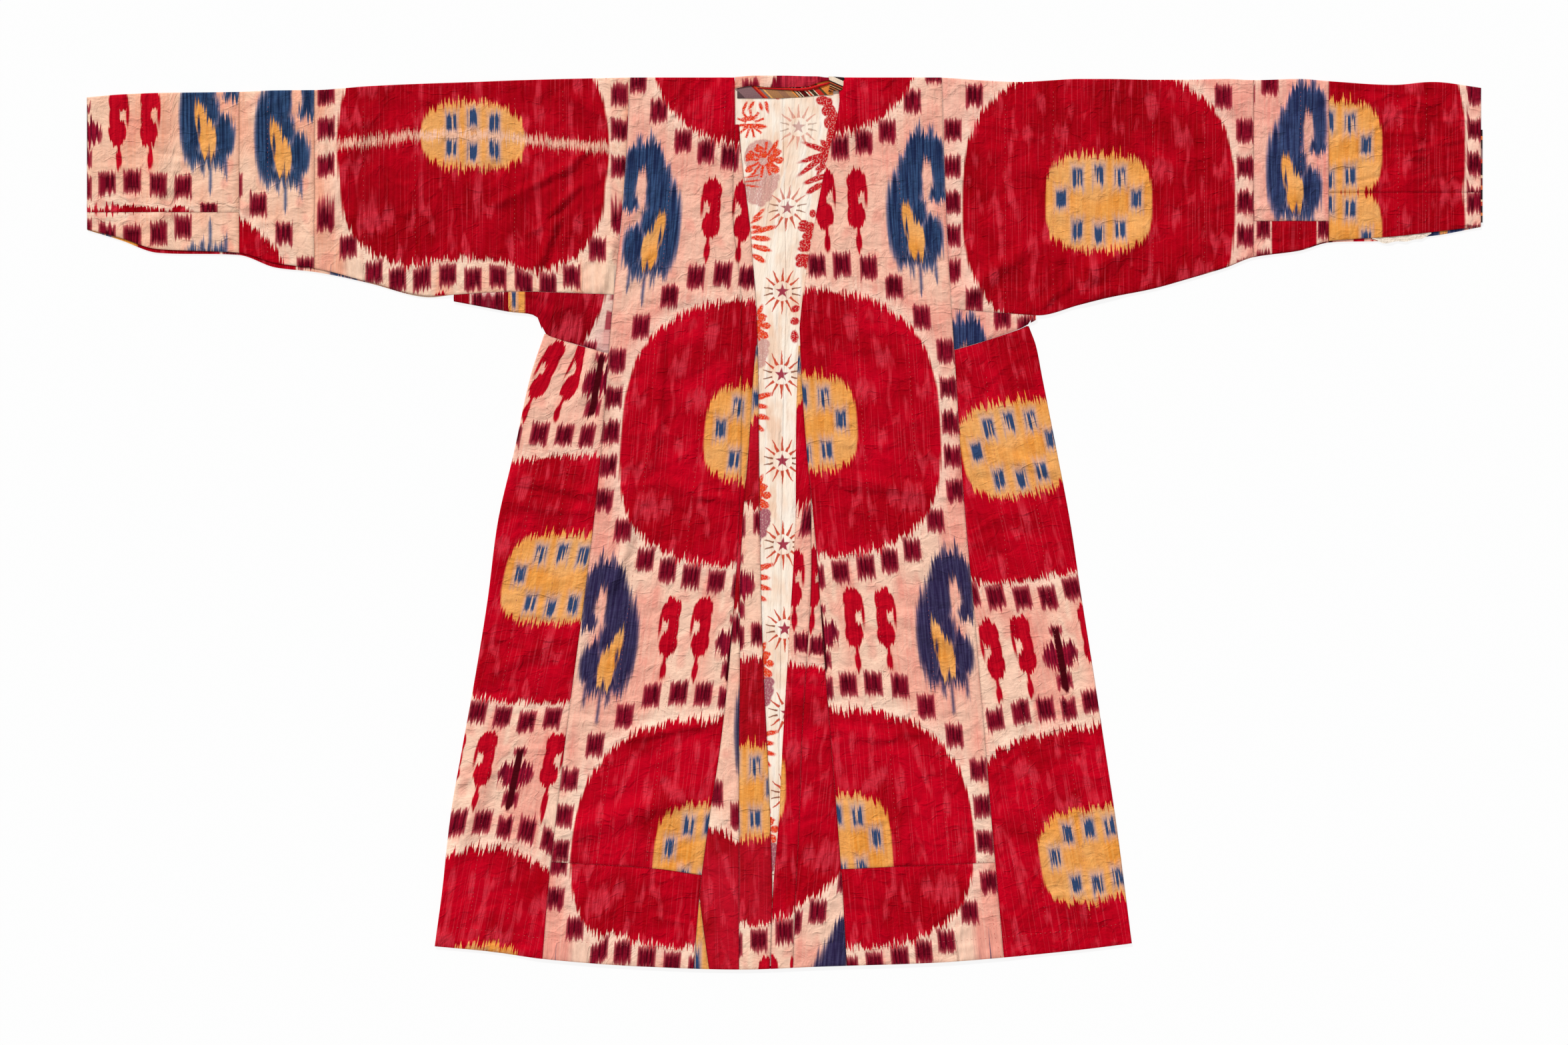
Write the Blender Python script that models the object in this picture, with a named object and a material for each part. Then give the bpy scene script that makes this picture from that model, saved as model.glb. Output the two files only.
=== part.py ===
"""Uzbek chapan: a lined ikat robe with long straight sleeves, laid flat on its back, front open.

Metres, +Z up. The robe lies on z = 0 with its neck towards +Y, its hem towards -Y and its
sleeves along X. Sizes in the tables are millimetres. "out" is the distance from the centre
line, so one set of functions serves the left side (-X) and the right side (+X).
Every piece is a wall of cloth as it was cut: folded at the shoulder, down the sleeve's top or
round the side, and parted from its neighbours by a seam's gap.
"""
import math
from collections import namedtuple

import bmesh
import bpy

for old in list(bpy.data.objects):
    bpy.data.objects.remove(old, do_unlink=True)

MM = 0.001

# Cloth, in millimetres
WALL = 2.0              # ikat face, padding of air and lining, quilted into one cloth
LINING = 0.8            # printed cotton inside the back
FACING = 0.8            # striped bias strip at the back of the neck
BAND = 1.2              # single ikat folded over the neck edge
PIPING = 1.0            # red roll under the neck band
PIPING_WIDTH = 3.2
PIPING_START = -30      # x where the roll comes out from behind the band
SEAM = 0.3              # gap between two pieces, and between two layers
HALF = SEAM / 2

# Layout, in millimetres
ROW = 24                # height of a row of faces on the body
BACK_ROW = 60           # the same on the back, which lies flat
SLEEVE_STEP = 22        # width of a column of faces on the sleeves
SIDE_HEM = -600         # lowest row of faces may start above this
JOIN_BAND = (-490, -450)    # no row of faces between these, where the lower pieces are joined
NECK_CUT = 583          # back edge of the neck, where the band is sewn
NECK_LEFT = 66.5        # ends of the neck band, against the shoulders
NECK_RIGHT = 70.5
LINING_NECK = 590       # top of the lining, under the facing
MIDDLE_SEAM = 637       # sleeve top to sleeve middle
CUFF_SEAM = 739         # sleeve middle to cuff
LIFT_WIDTH = 40         # run over which the cloth comes down beside the lining
FOLD_SLACK = 1.2        # how far a fold's inside stays open
FOLD_RUN = 6            # flat cloth left before a fold on the upper layer
FOLD_RUN_BACK = 12      # the same on the back layer
LINING_INSET = 4        # lining turned in at the side seams and the hem
NECK_APEX = 590         # height where the left front's strip runs out
BAND_APEX = 262         # the same for the right front's band
BAND_TOP = 240          # where the front bands start
GORE_APEX = -30         # where the front gores start
STRIP_TOP = 540         # where the left front's strip starts
BAND_SPLIT = 30         # below this the right band is parted from the panel by its gore
CUFF_END = 945.5

LINING_TOP = WALL + SEAM + LINING
FACING_TOP = LINING_TOP + SEAM + FACING

# Front pieces by height: side seam, slanted panel seam, band seam and front edge
Front = namedtuple("Front", "y side panel band edge")
FRONT_LEFT = (
    Front(604, 208.5, 67, None, 67),
    Front(550, 211, 66.5, None, 62),
    Front(500, 214, 68, None, 58),
    Front(450, 217.4, 69, None, 52),
    Front(400, 221.6, 68, None, 46),
    Front(350, 226.6, 62, None, 42),
    Front(300, 231.8, 58, None, 38),
    Front(250, 236.3, 57.2, 37, 36.4),
    Front(200, 239.8, 57, 41.5, 35),
    Front(100, 247.5, 58, 48, 34),
    Front(0, 258, 61, 56, 33),
    Front(-100, 270.5, 67, 60, 31),
    Front(-200, 284, 75, 60, 28),
    Front(-300, 297, 86, 61, 23),
    Front(-400, 309, 101, 61, 19),
    Front(-500, 320, 114, 61, 16),
    Front(-610, 329, 123, 61, 19.5),
)
FRONT_RIGHT = (
    Front(604, 214, None, None, 71),
    Front(575, 214.8, None, None, 75),
    Front(540, 215.8, None, None, 70),
    Front(500, 217, None, None, 60),
    Front(400, 221, None, None, 40),
    Front(300, 226.5, None, None, 24.5),
    Front(262, 229, 21, None, 20.8),
    Front(200, 233, 23.5, None, 18),
    Front(100, 239, 30.5, None, 16),
    Front(30, 244, 37.5, 37, 15.8),
    Front(-50, 251, 45, 37, 13),
    Front(-100, 256, 48.5, 36, 10),
    Front(-200, 264.5, 56, 30, 4),
    Front(-300, 273, 64, 24, -2),
    Front(-400, 281, 72, 21, -7),
    Front(-500, 290, 79.5, 16, -15),
    Front(-610, 300, 85.5, 12, -18.5),
)

# Side gores: folded edge by height, and the seam to the gusset at the top
Gore = namedtuple("Gore", "y edge")
GORE_LEFT = (Gore(257, 325), Gore(200, 344), Gore(100, 366), Gore(0, 389), Gore(-100, 402),
             Gore(-200, 418), Gore(-300, 436), Gore(-400, 453), Gore(-500, 464), Gore(-575, 474))
GORE_RIGHT = (Gore(267, 332), Gore(240, 342), Gore(200, 350), Gore(100, 370), Gore(0, 389),
              Gore(-100, 404), Gore(-200, 420), Gore(-300, 435), Gore(-400, 450), Gore(-571, 472))
Across = namedtuple("Across", "out y")
GORE_TOP_LEFT = (Across(236, 229), Across(262, 236), Across(300, 247), Across(326, 256.5))
GORE_TOP_RIGHT = (Across(230, 234), Across(262, 243), Across(297, 254.5), Across(333, 267))

# Hem, from the left side (negative x) to the right side
Hem = namedtuple("Hem", "x y")
HEM = (Hem(-475, -575), Hem(-400, -582), Hem(-328, -592), Hem(-200, -602), Hem(-60, -606.5),
       Hem(50, -602.5), Hem(200, -597.5), Hem(300, -590), Hem(400, -580), Hem(473, -571))
# Across the fronts, where a lower piece is joined on
JOIN_LEFT = (Across(100, -479), Across(113, -478), Across(170, -470), Across(325, -460))
JOIN_RIGHT = (Across(60, -471), Across(150, -467), Across(290, -461))

# Sleeves by distance out: folded top, lower edge of the front, how far the back hangs below it
Sleeve = namedtuple("Sleeve", "out top under drop")
SLEEVE_LEFT = (
    Sleeve(205, 604, 308, 0), Sleeve(300, 602, 312, 0), Sleeve(355, 600.5, 313.5, 0),
    Sleeve(420, 598, 311, 0), Sleeve(448, 597, 309, 0), Sleeve(480, 596, 307.5, 2),
    Sleeve(560, 592.5, 325.5, 1.5), Sleeve(637, 587, 345, 5), Sleeve(690, 586.5, 352, 6),
    Sleeve(740, 584.5, 366, 3), Sleeve(850, 583, 371, 5), Sleeve(900, 581, 386, 3),
    Sleeve(946, 577, 398, 1),
)
SLEEVE_RIGHT = (
    Sleeve(210, 604, 291, 0), Sleeve(322, 598, 282.5, 0), Sleeve(345, 599, 281, 0),
    Sleeve(400, 602, 296, 1), Sleeve(440, 602, 306, 1), Sleeve(500, 601, 318, 1),
    Sleeve(550, 601, 332, 1), Sleeve(600, 602, 347, 1), Sleeve(637, 600.5, 361, 1),
    Sleeve(700, 602, 370, 1), Sleeve(740, 599, 382, 2), Sleeve(827, 594, 388, 5),
    Sleeve(880, 598, 394, 5), Sleeve(946, 590, 402, 1),
)
# Strips let in along the lower part of a sleeve, and the height of their upper seam
CUFF_STRIP_LEFT = 421
MIDDLE_PATCH_RIGHT = 409
CUFF_STRIP_RIGHT = 448

# Underarm gussets by distance out: lower edge, and whether it is a fold there
Gusset = namedtuple("Gusset", "out lower folded")
GUSSET_LEFT = (
    Gusset(236, 229, False), Gusset(262, 236, False), Gusset(300, 247, False),
    Gusset(326, 256.5, True), Gusset(333, 277, True), Gusset(345, 283, True),
    Gusset(370, 285.5, True), Gusset(400, 291, True), Gusset(448, 300, True),
)
GUSSET_RIGHT = (
    Gusset(230, 234, False), Gusset(262, 243, False), Gusset(297, 254.5, False),
    Gusset(322, 263.8, False), Gusset(334, 270.5, True), Gusset(342, 275, True),
)

# Centre seam of the lining by height, and the lower edge of the neck band by x
Centre = namedtuple("Centre", "y x")
LINING_SEAM = (Centre(590, -2), Centre(420, 1), Centre(300, 3), Centre(200, 0), Centre(0, -3),
               Centre(-200, -5), Centre(-400, -8), Centre(-610, -10))
NeckLine = namedtuple("NeckLine", "x low top")
NECK_LINE = (NeckLine(-67, 588, 604.5), NeckLine(-38, 592, 606.5), NeckLine(0, 588.5, 606.5),
             NeckLine(22, 588, 606), NeckLine(48, 596, 605.5), NeckLine(71, 598, 605))
FACING_LOW = 576

# Ochre godet let into the hem of the left front
GODET_TOP = -510
Godet = namedtuple("Godet", "y out")
GODET_EDGE = (Godet(-510, 114.5), Godet(-560, 108), Godet(-610, 101))

# Main creases: a soft ridge along a line, with its width and height
Crease = namedtuple("Crease", "x0 y0 x1 y1 width height")
CREASES = (
    Crease(-180, 262, -183, 30, 20, 7.0), Crease(-232, 0, -252, -130, 16, 6.0),
    Crease(-258, 240, -276, 165, 14, 5.0), Crease(-240, 225, -250, 120, 13, 4.0),
    Crease(-362, 60, -262, 38, 15, 4.5), Crease(-372, 26, -268, 16, 13, 3.5),
    Crease(-160, 52, -66, 26, 15, 4.0), Crease(-215, -290, -95, -268, 15, 4.5),
    Crease(56, -282, 150, -292, 13, 3.5), Crease(-352, 446, -222, 335, 24, 7.0),
    Crease(-300, 470, -218, 405, 18, 5.0), Crease(-300, 585, -226, 540, 16, 4.0),
    Crease(340, 296, 485, 392, 24, 7.0), Crease(350, 292, 455, 316, 16, 5.0),
    Crease(240, 305, 330, 372, 18, 5.0), Crease(-120, -366, -296, -420, 26, 6.0),
    Crease(98, -472, 142, -570, 22, 5.5), Crease(322, -372, 402, -520, 22, 5.0),
    Crease(-86, 600, -80, 500, 12, 4.0), Crease(88, 600, 93, 520, 13, 4.5),
    Crease(300, 90, 366, 68, 15, 4.0), Crease(-330, -170, -398, -205, 18, 4.0),
    Crease(60, 60, 190, 40, 18, 3.5), Crease(-560, 560, -640, 380, 26, 4.5),
    Crease(700, 585, 690, 400, 22, 4.0), Crease(862, 590, 840, 420, 24, 4.5),
    Crease(-855, 570, -846, 400, 22, 4.0), Crease(150, -120, 240, -172, 20, 4.0),
    Crease(-400, -330, -452, -470, 20, 4.5), Crease(-150, 420, -90, 330, 18, 3.5),
)

CRIMSON = (0.50, 0.010, 0.020)
PINK = (0.78, 0.42, 0.30)
OCHRE = (0.78, 0.40, 0.11)
MAROON = (0.14, 0.008, 0.018)
CREAM = (0.90, 0.72, 0.52)
RED = (0.62, 0.006, 0.010)
BROWN = (0.25, 0.14, 0.09)


def curve(rows, along, across):
    """Smooth line through one column of a table, read by another column. It never overshoots."""
    knots = sorted((getattr(row, along), getattr(row, across))
                   for row in rows if getattr(row, across) is not None)
    rises = [(b[1] - a[1]) / (b[0] - a[0]) for a, b in zip(knots, knots[1:])]
    slopes = [rises[0]]
    for before, after in zip(rises, rises[1:]):
        slopes.append(2 * before * after / (before + after) if before * after > 0 else 0.0)
    slopes.append(rises[-1])

    def read(place):
        place = min(max(place, knots[0][0]), knots[-1][0])
        k = 0
        while k < len(knots) - 2 and place > knots[k + 1][0]:
            k += 1
        run = knots[k + 1][0] - knots[k][0]
        t = (place - knots[k][0]) / run
        start = (1 + 2 * t) * (1 - t) ** 2 * knots[k][1] + t * (1 - t) ** 2 * run * slopes[k]
        end = t * t * (3 - 2 * t) * knots[k + 1][1] + t * t * (t - 1) * run * slopes[k + 1]
        return start + end

    return read


def blend(a, b, t):
    return a + (b - a) * t


def shares(count):
    return [k / count for k in range(count + 1)]


def ease(t):
    t = min(max(t, 0.0), 1.0)
    return t * t * (3 - 2 * t)


Side = namedtuple("Side", "name sign front gore gore_top join sleeve gusset")
SIDES = (
    Side("left", -1, FRONT_LEFT, GORE_LEFT, GORE_TOP_LEFT, JOIN_LEFT, SLEEVE_LEFT, GUSSET_LEFT),
    Side("right", 1, FRONT_RIGHT, GORE_RIGHT, GORE_TOP_RIGHT, JOIN_RIGHT, SLEEVE_RIGHT,
         GUSSET_RIGHT),
)
side_seam = {s.name: curve(s.front, "y", "side") for s in SIDES}
panel_seam = {s.name: curve(s.front, "y", "panel") for s in SIDES}
band_seam = {s.name: curve(s.front, "y", "band") for s in SIDES}
front_edge = {s.name: curve(s.front, "y", "edge") for s in SIDES}
sleeve_top = {s.name: curve(s.sleeve, "out", "top") for s in SIDES}
sleeve_under = {s.name: curve(s.sleeve, "out", "under") for s in SIDES}
sleeve_drop = {s.name: curve(s.sleeve, "out", "drop") for s in SIDES}
hem = curve(HEM, "x", "y")
neck_low = curve(NECK_LINE, "x", "low")
neck_top = curve(NECK_LINE, "x", "top")
lining_seam = curve(LINING_SEAM, "y", "x")
godet_edge = curve(GODET_EDGE, "y", "out")


def crease_height(x, y):
    """Height that the nearest ridges add, fading out along each ridge and at its ends."""
    total = 0.0
    for c in CREASES:
        dx, dy = c.x1 - c.x0, c.y1 - c.y0
        length = math.hypot(dx, dy)
        along = ((x - c.x0) * dx + (y - c.y0) * dy) / length
        aside = ((x - c.x0) * dy - (y - c.y0) * dx) / length
        if -c.width < along < length + c.width and abs(aside) < c.width:
            ends = ease((along + c.width) / (2 * c.width)) * ease((length + c.width - along) / (2 * c.width))
            total += c.height * ends * math.cos(math.pi * aside / (2 * c.width)) ** 2
    return total


def under(x, y):
    """Underside of the front layer: it lies on the lining, and beside it on the back."""
    name = "left" if x < 0 else "right"
    beyond = abs(x) - side_seam[name](y)
    lift = (LINING + SEAM) * (1 - ease(beyond / LIFT_WIDTH))
    return WALL + SEAM + lift + crease_height(x, y)


def front_point(x, y):
    low = under(x, y)
    return (x, y, low + WALL), (x, y, low)


def back_point(x, y):
    return (x, y, 0.0), (x, y, WALL)


# A fold in five steps: the angle of the outside, and how open the inside is there
Fold = namedtuple("Fold", "angle slack")
FOLD = (Fold(90, 1.0), Fold(45, 0.4), Fold(0, 0.0), Fold(-45, 0.4), Fold(-90, 1.0))


def fold_points(x, y, inward, low, wall=WALL):
    """Points round a folded edge at (x, y). low is the underside of the upper layer."""
    radius = (low + wall) / 2
    points = []
    for step in FOLD:
        turn = math.radians(step.angle)
        out = radius * (1 - math.cos(turn))
        inset = radius + FOLD_SLACK * step.slack
        inner_z = low if step.angle > 0 else wall if step.angle < 0 else (low + wall) / 2
        outer = (x + inward[0] * out, y + inward[1] * out, radius * (1 + math.sin(turn)))
        inner = (x + inward[0] * inset, y + inward[1] * inset, inner_z)
        points.append((outer, inner))
    return points


def solid(name, sections, colour):
    """Closed wall from sections of (outer, inner) points. None leaves a part of a section out."""
    mesh = bpy.data.meshes.new(name)
    form = bmesh.new()
    outer, inner = {}, {}
    for i, section in enumerate(sections):
        for j, pair in enumerate(section):
            if pair is not None:
                outer[i, j] = form.verts.new([v * MM for v in pair[0]])
                inner[i, j] = form.verts.new([v * MM for v in pair[1]])
    sides = {}
    for i, j in outer:
        cell = ((i, j), (i + 1, j), (i + 1, j + 1), (i, j + 1))
        if all(corner in outer for corner in cell):
            form.faces.new([outer[corner] for corner in cell])
            form.faces.new([inner[corner] for corner in reversed(cell)])
            for a, b in zip(cell, cell[1:] + cell[:1]):
                if (b, a) in sides:
                    del sides[b, a]
                else:
                    sides[a, b] = True
    for a, b in sides:
        form.faces.new((outer[b], outer[a], inner[a], inner[b]))
    loose = [v for v in form.verts if not v.link_faces]
    bmesh.ops.delete(form, geom=loose, context="VERTS")
    bmesh.ops.recalc_face_normals(form, faces=form.faces)
    form.to_mesh(mesh)
    form.free()
    mesh.shade_smooth()
    mesh.set_sharp_from_angle(angle=math.radians(50))
    piece = bpy.data.objects.new(name, mesh)
    bpy.context.scene.collection.objects.link(piece)
    finish = bpy.data.materials.new(name)
    finish.use_nodes = True
    shader = finish.node_tree.nodes["Principled BSDF"]
    shader.inputs["Base Color"].default_value = (*colour, 1.0)
    shader.inputs["Roughness"].default_value = 0.6
    shader.inputs["Metallic"].default_value = 0.0
    mesh.materials.append(finish)
    return piece


def rows_between(low, high):
    """Rows at every ROW millimetres strictly between two heights."""
    first = math.floor(low / ROW + 0.25) + 1
    last = math.ceil(high / ROW - 0.25) - 1
    return [ROW * k for k in range(first, last + 1)]


def meeting(line, across):
    """Where a seam that runs up the body, line(y), meets one that runs across it, across(out)."""
    y = across(250)
    for _ in range(8):
        y = across(line(y))
    return line(y), y


def hem_of(side):
    return lambda out: hem(side.sign * out)


def front_strip(name, side, inner, outer, low, high, columns, colour):
    """Flat piece of a front between two seams. low None ends it on the hem."""
    heights = rows_between(SIDE_HEM if low is None else low, high) + [high]
    sections = []
    for share in shares(columns):
        section = []
        if low is None:
            near, far = meeting(inner, hem_of(side))[0], meeting(outer, hem_of(side))[0]
            out = blend(near + HALF, far - HALF, share)
            section.append(front_point(side.sign * out, hem(side.sign * out)))
        for y in heights if low is None else [low] + heights:
            out = blend(inner(y) + HALF, outer(y) - HALF, share)
            section.append(front_point(side.sign * out, y))
        sections.append(section)
    return solid(name, sections, colour)


def body_width(side):
    """One loom width of ikat: up the front from the join, over the shoulder, down to the back hem."""
    columns, centre_columns = 8, 2
    join = curve(side.join, "out", "y")
    seam, edge, slant = side_seam[side.name], front_edge[side.name], panel_seam[side.name]
    shoulder = sleeve_top[side.name](200)
    apex = BAND_APEX if side.name == "right" else NECK_APEX
    neck = edge(shoulder)

    def inside(y):
        return max(edge(y), slant(y)) if y < apex else edge(y)

    down = [NECK_CUT - HALF] + list(range(STRIP_TOP, SIDE_HEM + BACK_ROW // 2, -BACK_ROW))
    seam_join, slant_join = meeting(seam, join)[0], meeting(inside, join)[0]
    seam_hem = meeting(seam, hem_of(side))[0]
    sections = []
    for share in shares(columns):
        join_out = blend(seam_join - HALF, slant_join + HALF, share)
        section = []
        section.append(front_point(side.sign * join_out, join(join_out) + HALF))
        for y in rows_between(JOIN_BAND[1], shoulder - FOLD_RUN):
            out = blend(seam(y) - HALF, inside(y) + HALF, share)
            section.append(front_point(side.sign * out, y))
        out = blend(seam(shoulder) - HALF, neck + HALF, share)
        x = side.sign * out
        section += fold_points(x, shoulder, (0, -1), under(x, shoulder))
        for y in down:
            out = blend(seam(y) - HALF, neck + HALF, share)
            section.append(back_point(side.sign * out, y))
        out = blend(seam_hem - HALF, neck + HALF, share)
        section.append(back_point(side.sign * out, hem(side.sign * out)))
        sections.append(section)
    before = len(sections[0]) - len(down) - 1
    for share in shares(centre_columns)[1:]:
        x = side.sign * blend(neck + HALF, HALF, share)
        section = [None] * before + [back_point(x, y) for y in down] + [back_point(x, hem(x))]
        sections.append(section)
    return solid(f"body_width_{side.name}", sections, CRIMSON)


def front_lower(side):
    """Piece joined on below the front panel, down to the hem."""
    join = curve(side.join, "out", "y")
    seam, slant = side_seam[side.name], panel_seam[side.name]
    seam_join, slant_join = meeting(seam, join)[0], meeting(slant, join)[0]
    seam_hem, slant_hem = meeting(seam, hem_of(side))[0], meeting(slant, hem_of(side))[0]
    sections = []
    for share in shares(8):
        top = blend(seam_join - HALF, slant_join + HALF, share)
        low = blend(seam_hem - HALF, slant_hem + HALF, share)
        section = [front_point(side.sign * low, hem(side.sign * low))]
        for y in rows_between(SIDE_HEM, JOIN_BAND[0]):
            out = blend(seam(y) - HALF, slant(y) + HALF, share)
            section.append(front_point(side.sign * out, y))
        section.append(front_point(side.sign * top, join(top) - HALF))
        sections.append(section)
    return solid(f"front_{side.name}_lower", sections, CRIMSON)


def side_gore(side):
    """Gore folded round the side, from the underarm gusset to the hem."""
    seam = side_seam[side.name]
    edge = curve(side.gore, "y", "edge")
    top = curve(side.gore_top, "out", "y")
    top_row = side.gore[0].y
    bottom_row = side.gore[-1].y
    sections = []
    for row in [bottom_row] + rows_between(bottom_row, side.gore_top[0].y) + [top_row]:
        def height(out):
            if row == bottom_row:
                return hem(side.sign * out)
            return top(out) - HALF if row == top_row else row

        # The top and bottom rows slope, so the seam is read where each of them meets it
        if row == bottom_row:
            meet = meeting(seam, hem_of(side))[0]
        elif row == top_row:
            meet = meeting(seam, top)[0]
        else:
            meet = seam(row)
        far = edge(row)
        radius = (under(side.sign * far, row) + WALL) / 2
        fronts = [blend(meet + HALF, far - radius - FOLD_RUN, share) for share in shares(6)]
        backs = [blend(far - radius - FOLD_RUN_BACK, meet + HALF, share) for share in shares(3)]
        section = [front_point(side.sign * out, height(out)) for out in fronts]
        fold = fold_points(side.sign * far, height(far), (-side.sign, 0),
                           under(side.sign * far, height(far)))
        section += fold
        section += [back_point(side.sign * out, height(out)) for out in backs]
        sections.append(section)
    return solid(f"side_gore_{side.name}", sections, PINK)


def sleeve_piece(name, side, near, far, colour, start=None, back_rows=2):
    """Length of sleeve folded at its top. near and far give the seams' distance out by height."""
    top, low, drop = sleeve_top[side.name], sleeve_under[side.name], sleeve_drop[side.name]

    def place(share, rise, floor, ceiling):
        """Point at a share of the way out and a rise between two edges that depend on out."""
        y = 450.0
        for _ in range(6):
            out = blend(near(y), far(y), share)
            y = blend(floor(out), ceiling(out), rise)
        return out, y

    count = max(3, round((far(450) - near(450)) / SLEEVE_STEP))
    sections = []
    for share in shares(count):
        section = []
        for rise in shares(8):
            out, y = place(share, rise, lambda o: (start or low(o)) + HALF,
                           lambda o: top(o) - FOLD_RUN - WALL)
            section.append(front_point(side.sign * out, y))
        out, y = place(share, 1.0, low, top)
        x = side.sign * out
        section += fold_points(x, y, (0, -1), under(x, y))
        for fall in reversed(shares(back_rows)):
            out, y = place(share, fall, lambda o: low(o) - drop(o) + HALF,
                           lambda o: top(o) - FOLD_RUN_BACK)
            section.append(back_point(side.sign * out, y))
        sections.append(section)
    return solid(name, sections, colour)


def sleeve_strip(name, side, near, far, top, colour):
    """Strip let in along the lower part of a sleeve's front."""
    low = sleeve_under[side.name]
    count = max(3, round((far - near) / SLEEVE_STEP))
    sections = []
    for out in [blend(near + HALF, far - HALF, share) for share in shares(count)]:
        heights = [blend(low(out) + HALF, top - HALF, rise) for rise in shares(2)]
        sections.append([front_point(side.sign * out, y) for y in heights])
    return solid(name, sections, colour)


def gusset(side):
    """Underarm gusset: a square folded corner to corner, its fold at the armpit."""
    lower = curve(side.gusset, "out", "lower")
    upper = sleeve_under[side.name]
    seam = side_seam[side.name]
    tip = side.gusset[-1].out
    start = side.gusset[0].out
    sections = []
    for place in side.gusset:
        share = (place.out - start) / (tip - start)

        def point(rise, gap=HALF):
            """Point at a rise between the lower and upper edge, with the inner end on the seam."""
            y = 270.0
            for _ in range(6):
                out = blend(seam(y) + HALF, tip, share)
                y = blend(lower(out) + gap, upper(out) - HALF, rise)
            return side.sign * out, y

        if place.folded:
            x, y = point(0.0, 0.0)
            low = under(x, y)
            lift = (low + WALL) / 2 + 2.0
            rise = min(0.42, lift / (upper(abs(x)) - lower(abs(x))))
            fold = fold_points(x, y, (0, 1), low)
        else:
            rise = 0.0
            fold = [None] * len(FOLD)
        front = [front_point(*point(blend(1.0, rise, share_up))) for share_up in shares(3)]
        back = [back_point(*point(blend(rise, 1.0, share_up))) for share_up in shares(2)]
        sections.append(front + fold + back)
    return solid(f"gusset_{side.name}", sections, MAROON)


def lining_width(side):
    """Printed lining of the back, from the neck to the hem, out to the side seam."""
    seam = side_seam[side.name]
    sections = []
    for share in shares(2):
        section = []
        for row in range(SIDE_HEM, NECK_APEX, BACK_ROW):
            centre = lining_seam(row) + side.sign * HALF
            x = blend(centre, side.sign * (seam(row) - LINING_INSET), share)
            y = hem(x) + LINING_INSET if row == SIDE_HEM else row
            section.append(((x, y, LINING_TOP), (x, y, LINING_TOP - LINING)))
        x = blend(lining_seam(LINING_NECK) + side.sign * HALF,
                  side.sign * (seam(LINING_NECK) - LINING_INSET), share)
        section.append(((x, LINING_NECK, LINING_TOP), (x, LINING_NECK, LINING_TOP - LINING)))
        sections.append(section)
    return solid(f"lining_{side.name}", sections, CREAM)


def neck_pieces():
    """Facing, folded band and red piping at the back of the neck."""
    start, end = -NECK_LEFT, NECK_RIGHT
    places = [blend(start, end, share) for share in shares(10)]
    inside = [blend(start + 3, end - 4, share) for share in shares(8)]
    facing = [[((x, y, FACING_TOP), (x, y, FACING_TOP - FACING))
               for y in (FACING_LOW, neck_low(x) + 1.5)] for x in inside]
    solid("neck_facing", facing, BROWN)
    band_low = FACING_TOP + SEAM
    sections = []
    for x in places:
        front = [((x, y, band_low + BAND), (x, y, band_low)) for y in (neck_low(x),)]
        fold = fold_points(x, neck_top(x), (0, -1), band_low, BAND)
        back = [((x, y, 0.0), (x, y, BAND)) for y in (NECK_CUT + HALF,)]
        sections.append(front + fold + back)
    solid("neck_band", sections, MAROON)
    sections = []
    for x in [blend(PIPING_START, end - 6, share) for share in shares(8)]:
        high = neck_low(x) - SEAM
        sections.append([((x, y, band_low + PIPING), (x, y, band_low))
                         for y in (high - PIPING_WIDTH, high)])
    solid("neck_piping", sections, RED)


left, right = SIDES
for side in SIDES:
    body_width(side)
    front_lower(side)
    side_gore(side)
    gusset(side)
    lining_width(side)

# Strips, bands and gores of the fronts
front_strip("front_left_strip", left,
            lambda y: (front_edge if y > BAND_TOP + HALF else band_seam)["left"](y),
            panel_seam["left"], GORE_APEX + HALF, STRIP_TOP, 1, CRIMSON)
front_strip("front_left_band", left, front_edge["left"], band_seam["left"],
            None, BAND_TOP, 2, CRIMSON)
front_strip("front_left_gore", left, band_seam["left"],
            lambda y: panel_seam["left"](y) if y > GODET_TOP else godet_edge(y),
            None, GORE_APEX - HALF, 2, PINK)
front_strip("hem_godet", left, godet_edge, panel_seam["left"], None, GODET_TOP - ROW, 1, OCHRE)
front_strip("front_right_band", right, front_edge["right"],
            lambda y: (panel_seam if y > BAND_SPLIT else band_seam)["right"](y),
            None, BAND_TOP, 2, CRIMSON)
front_strip("front_right_gore", right, band_seam["right"], panel_seam["right"],
            None, GORE_APEX, 2, PINK)

# Sleeves, from the armhole to the cuff
for side in SIDES:
    armhole = side_seam[side.name]
    patch = MIDDLE_PATCH_RIGHT if side is right else None
    strip = CUFF_STRIP_RIGHT if side is right else CUFF_STRIP_LEFT
    sleeve_piece(f"sleeve_{side.name}_upper", side, lambda y: armhole(y) + HALF,
                 lambda y: MIDDLE_SEAM - HALF, CRIMSON, back_rows=5)
    sleeve_piece(f"sleeve_{side.name}_middle", side, lambda y: MIDDLE_SEAM + HALF,
                 lambda y: CUFF_SEAM - HALF, PINK, patch)
    sleeve_piece(f"sleeve_{side.name}_cuff", side, lambda y: CUFF_SEAM + HALF,
                 lambda y: CUFF_END, OCHRE, strip)
    sleeve_strip(f"sleeve_{side.name}_cuff_strip", side, CUFF_SEAM, CUFF_END + HALF, strip, PINK)
sleeve_strip("sleeve_right_middle_patch", right, MIDDLE_SEAM, CUFF_SEAM, MIDDLE_PATCH_RIGHT,
             CRIMSON)

neck_pieces()
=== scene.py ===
import math
import random
from collections import namedtuple

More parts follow.
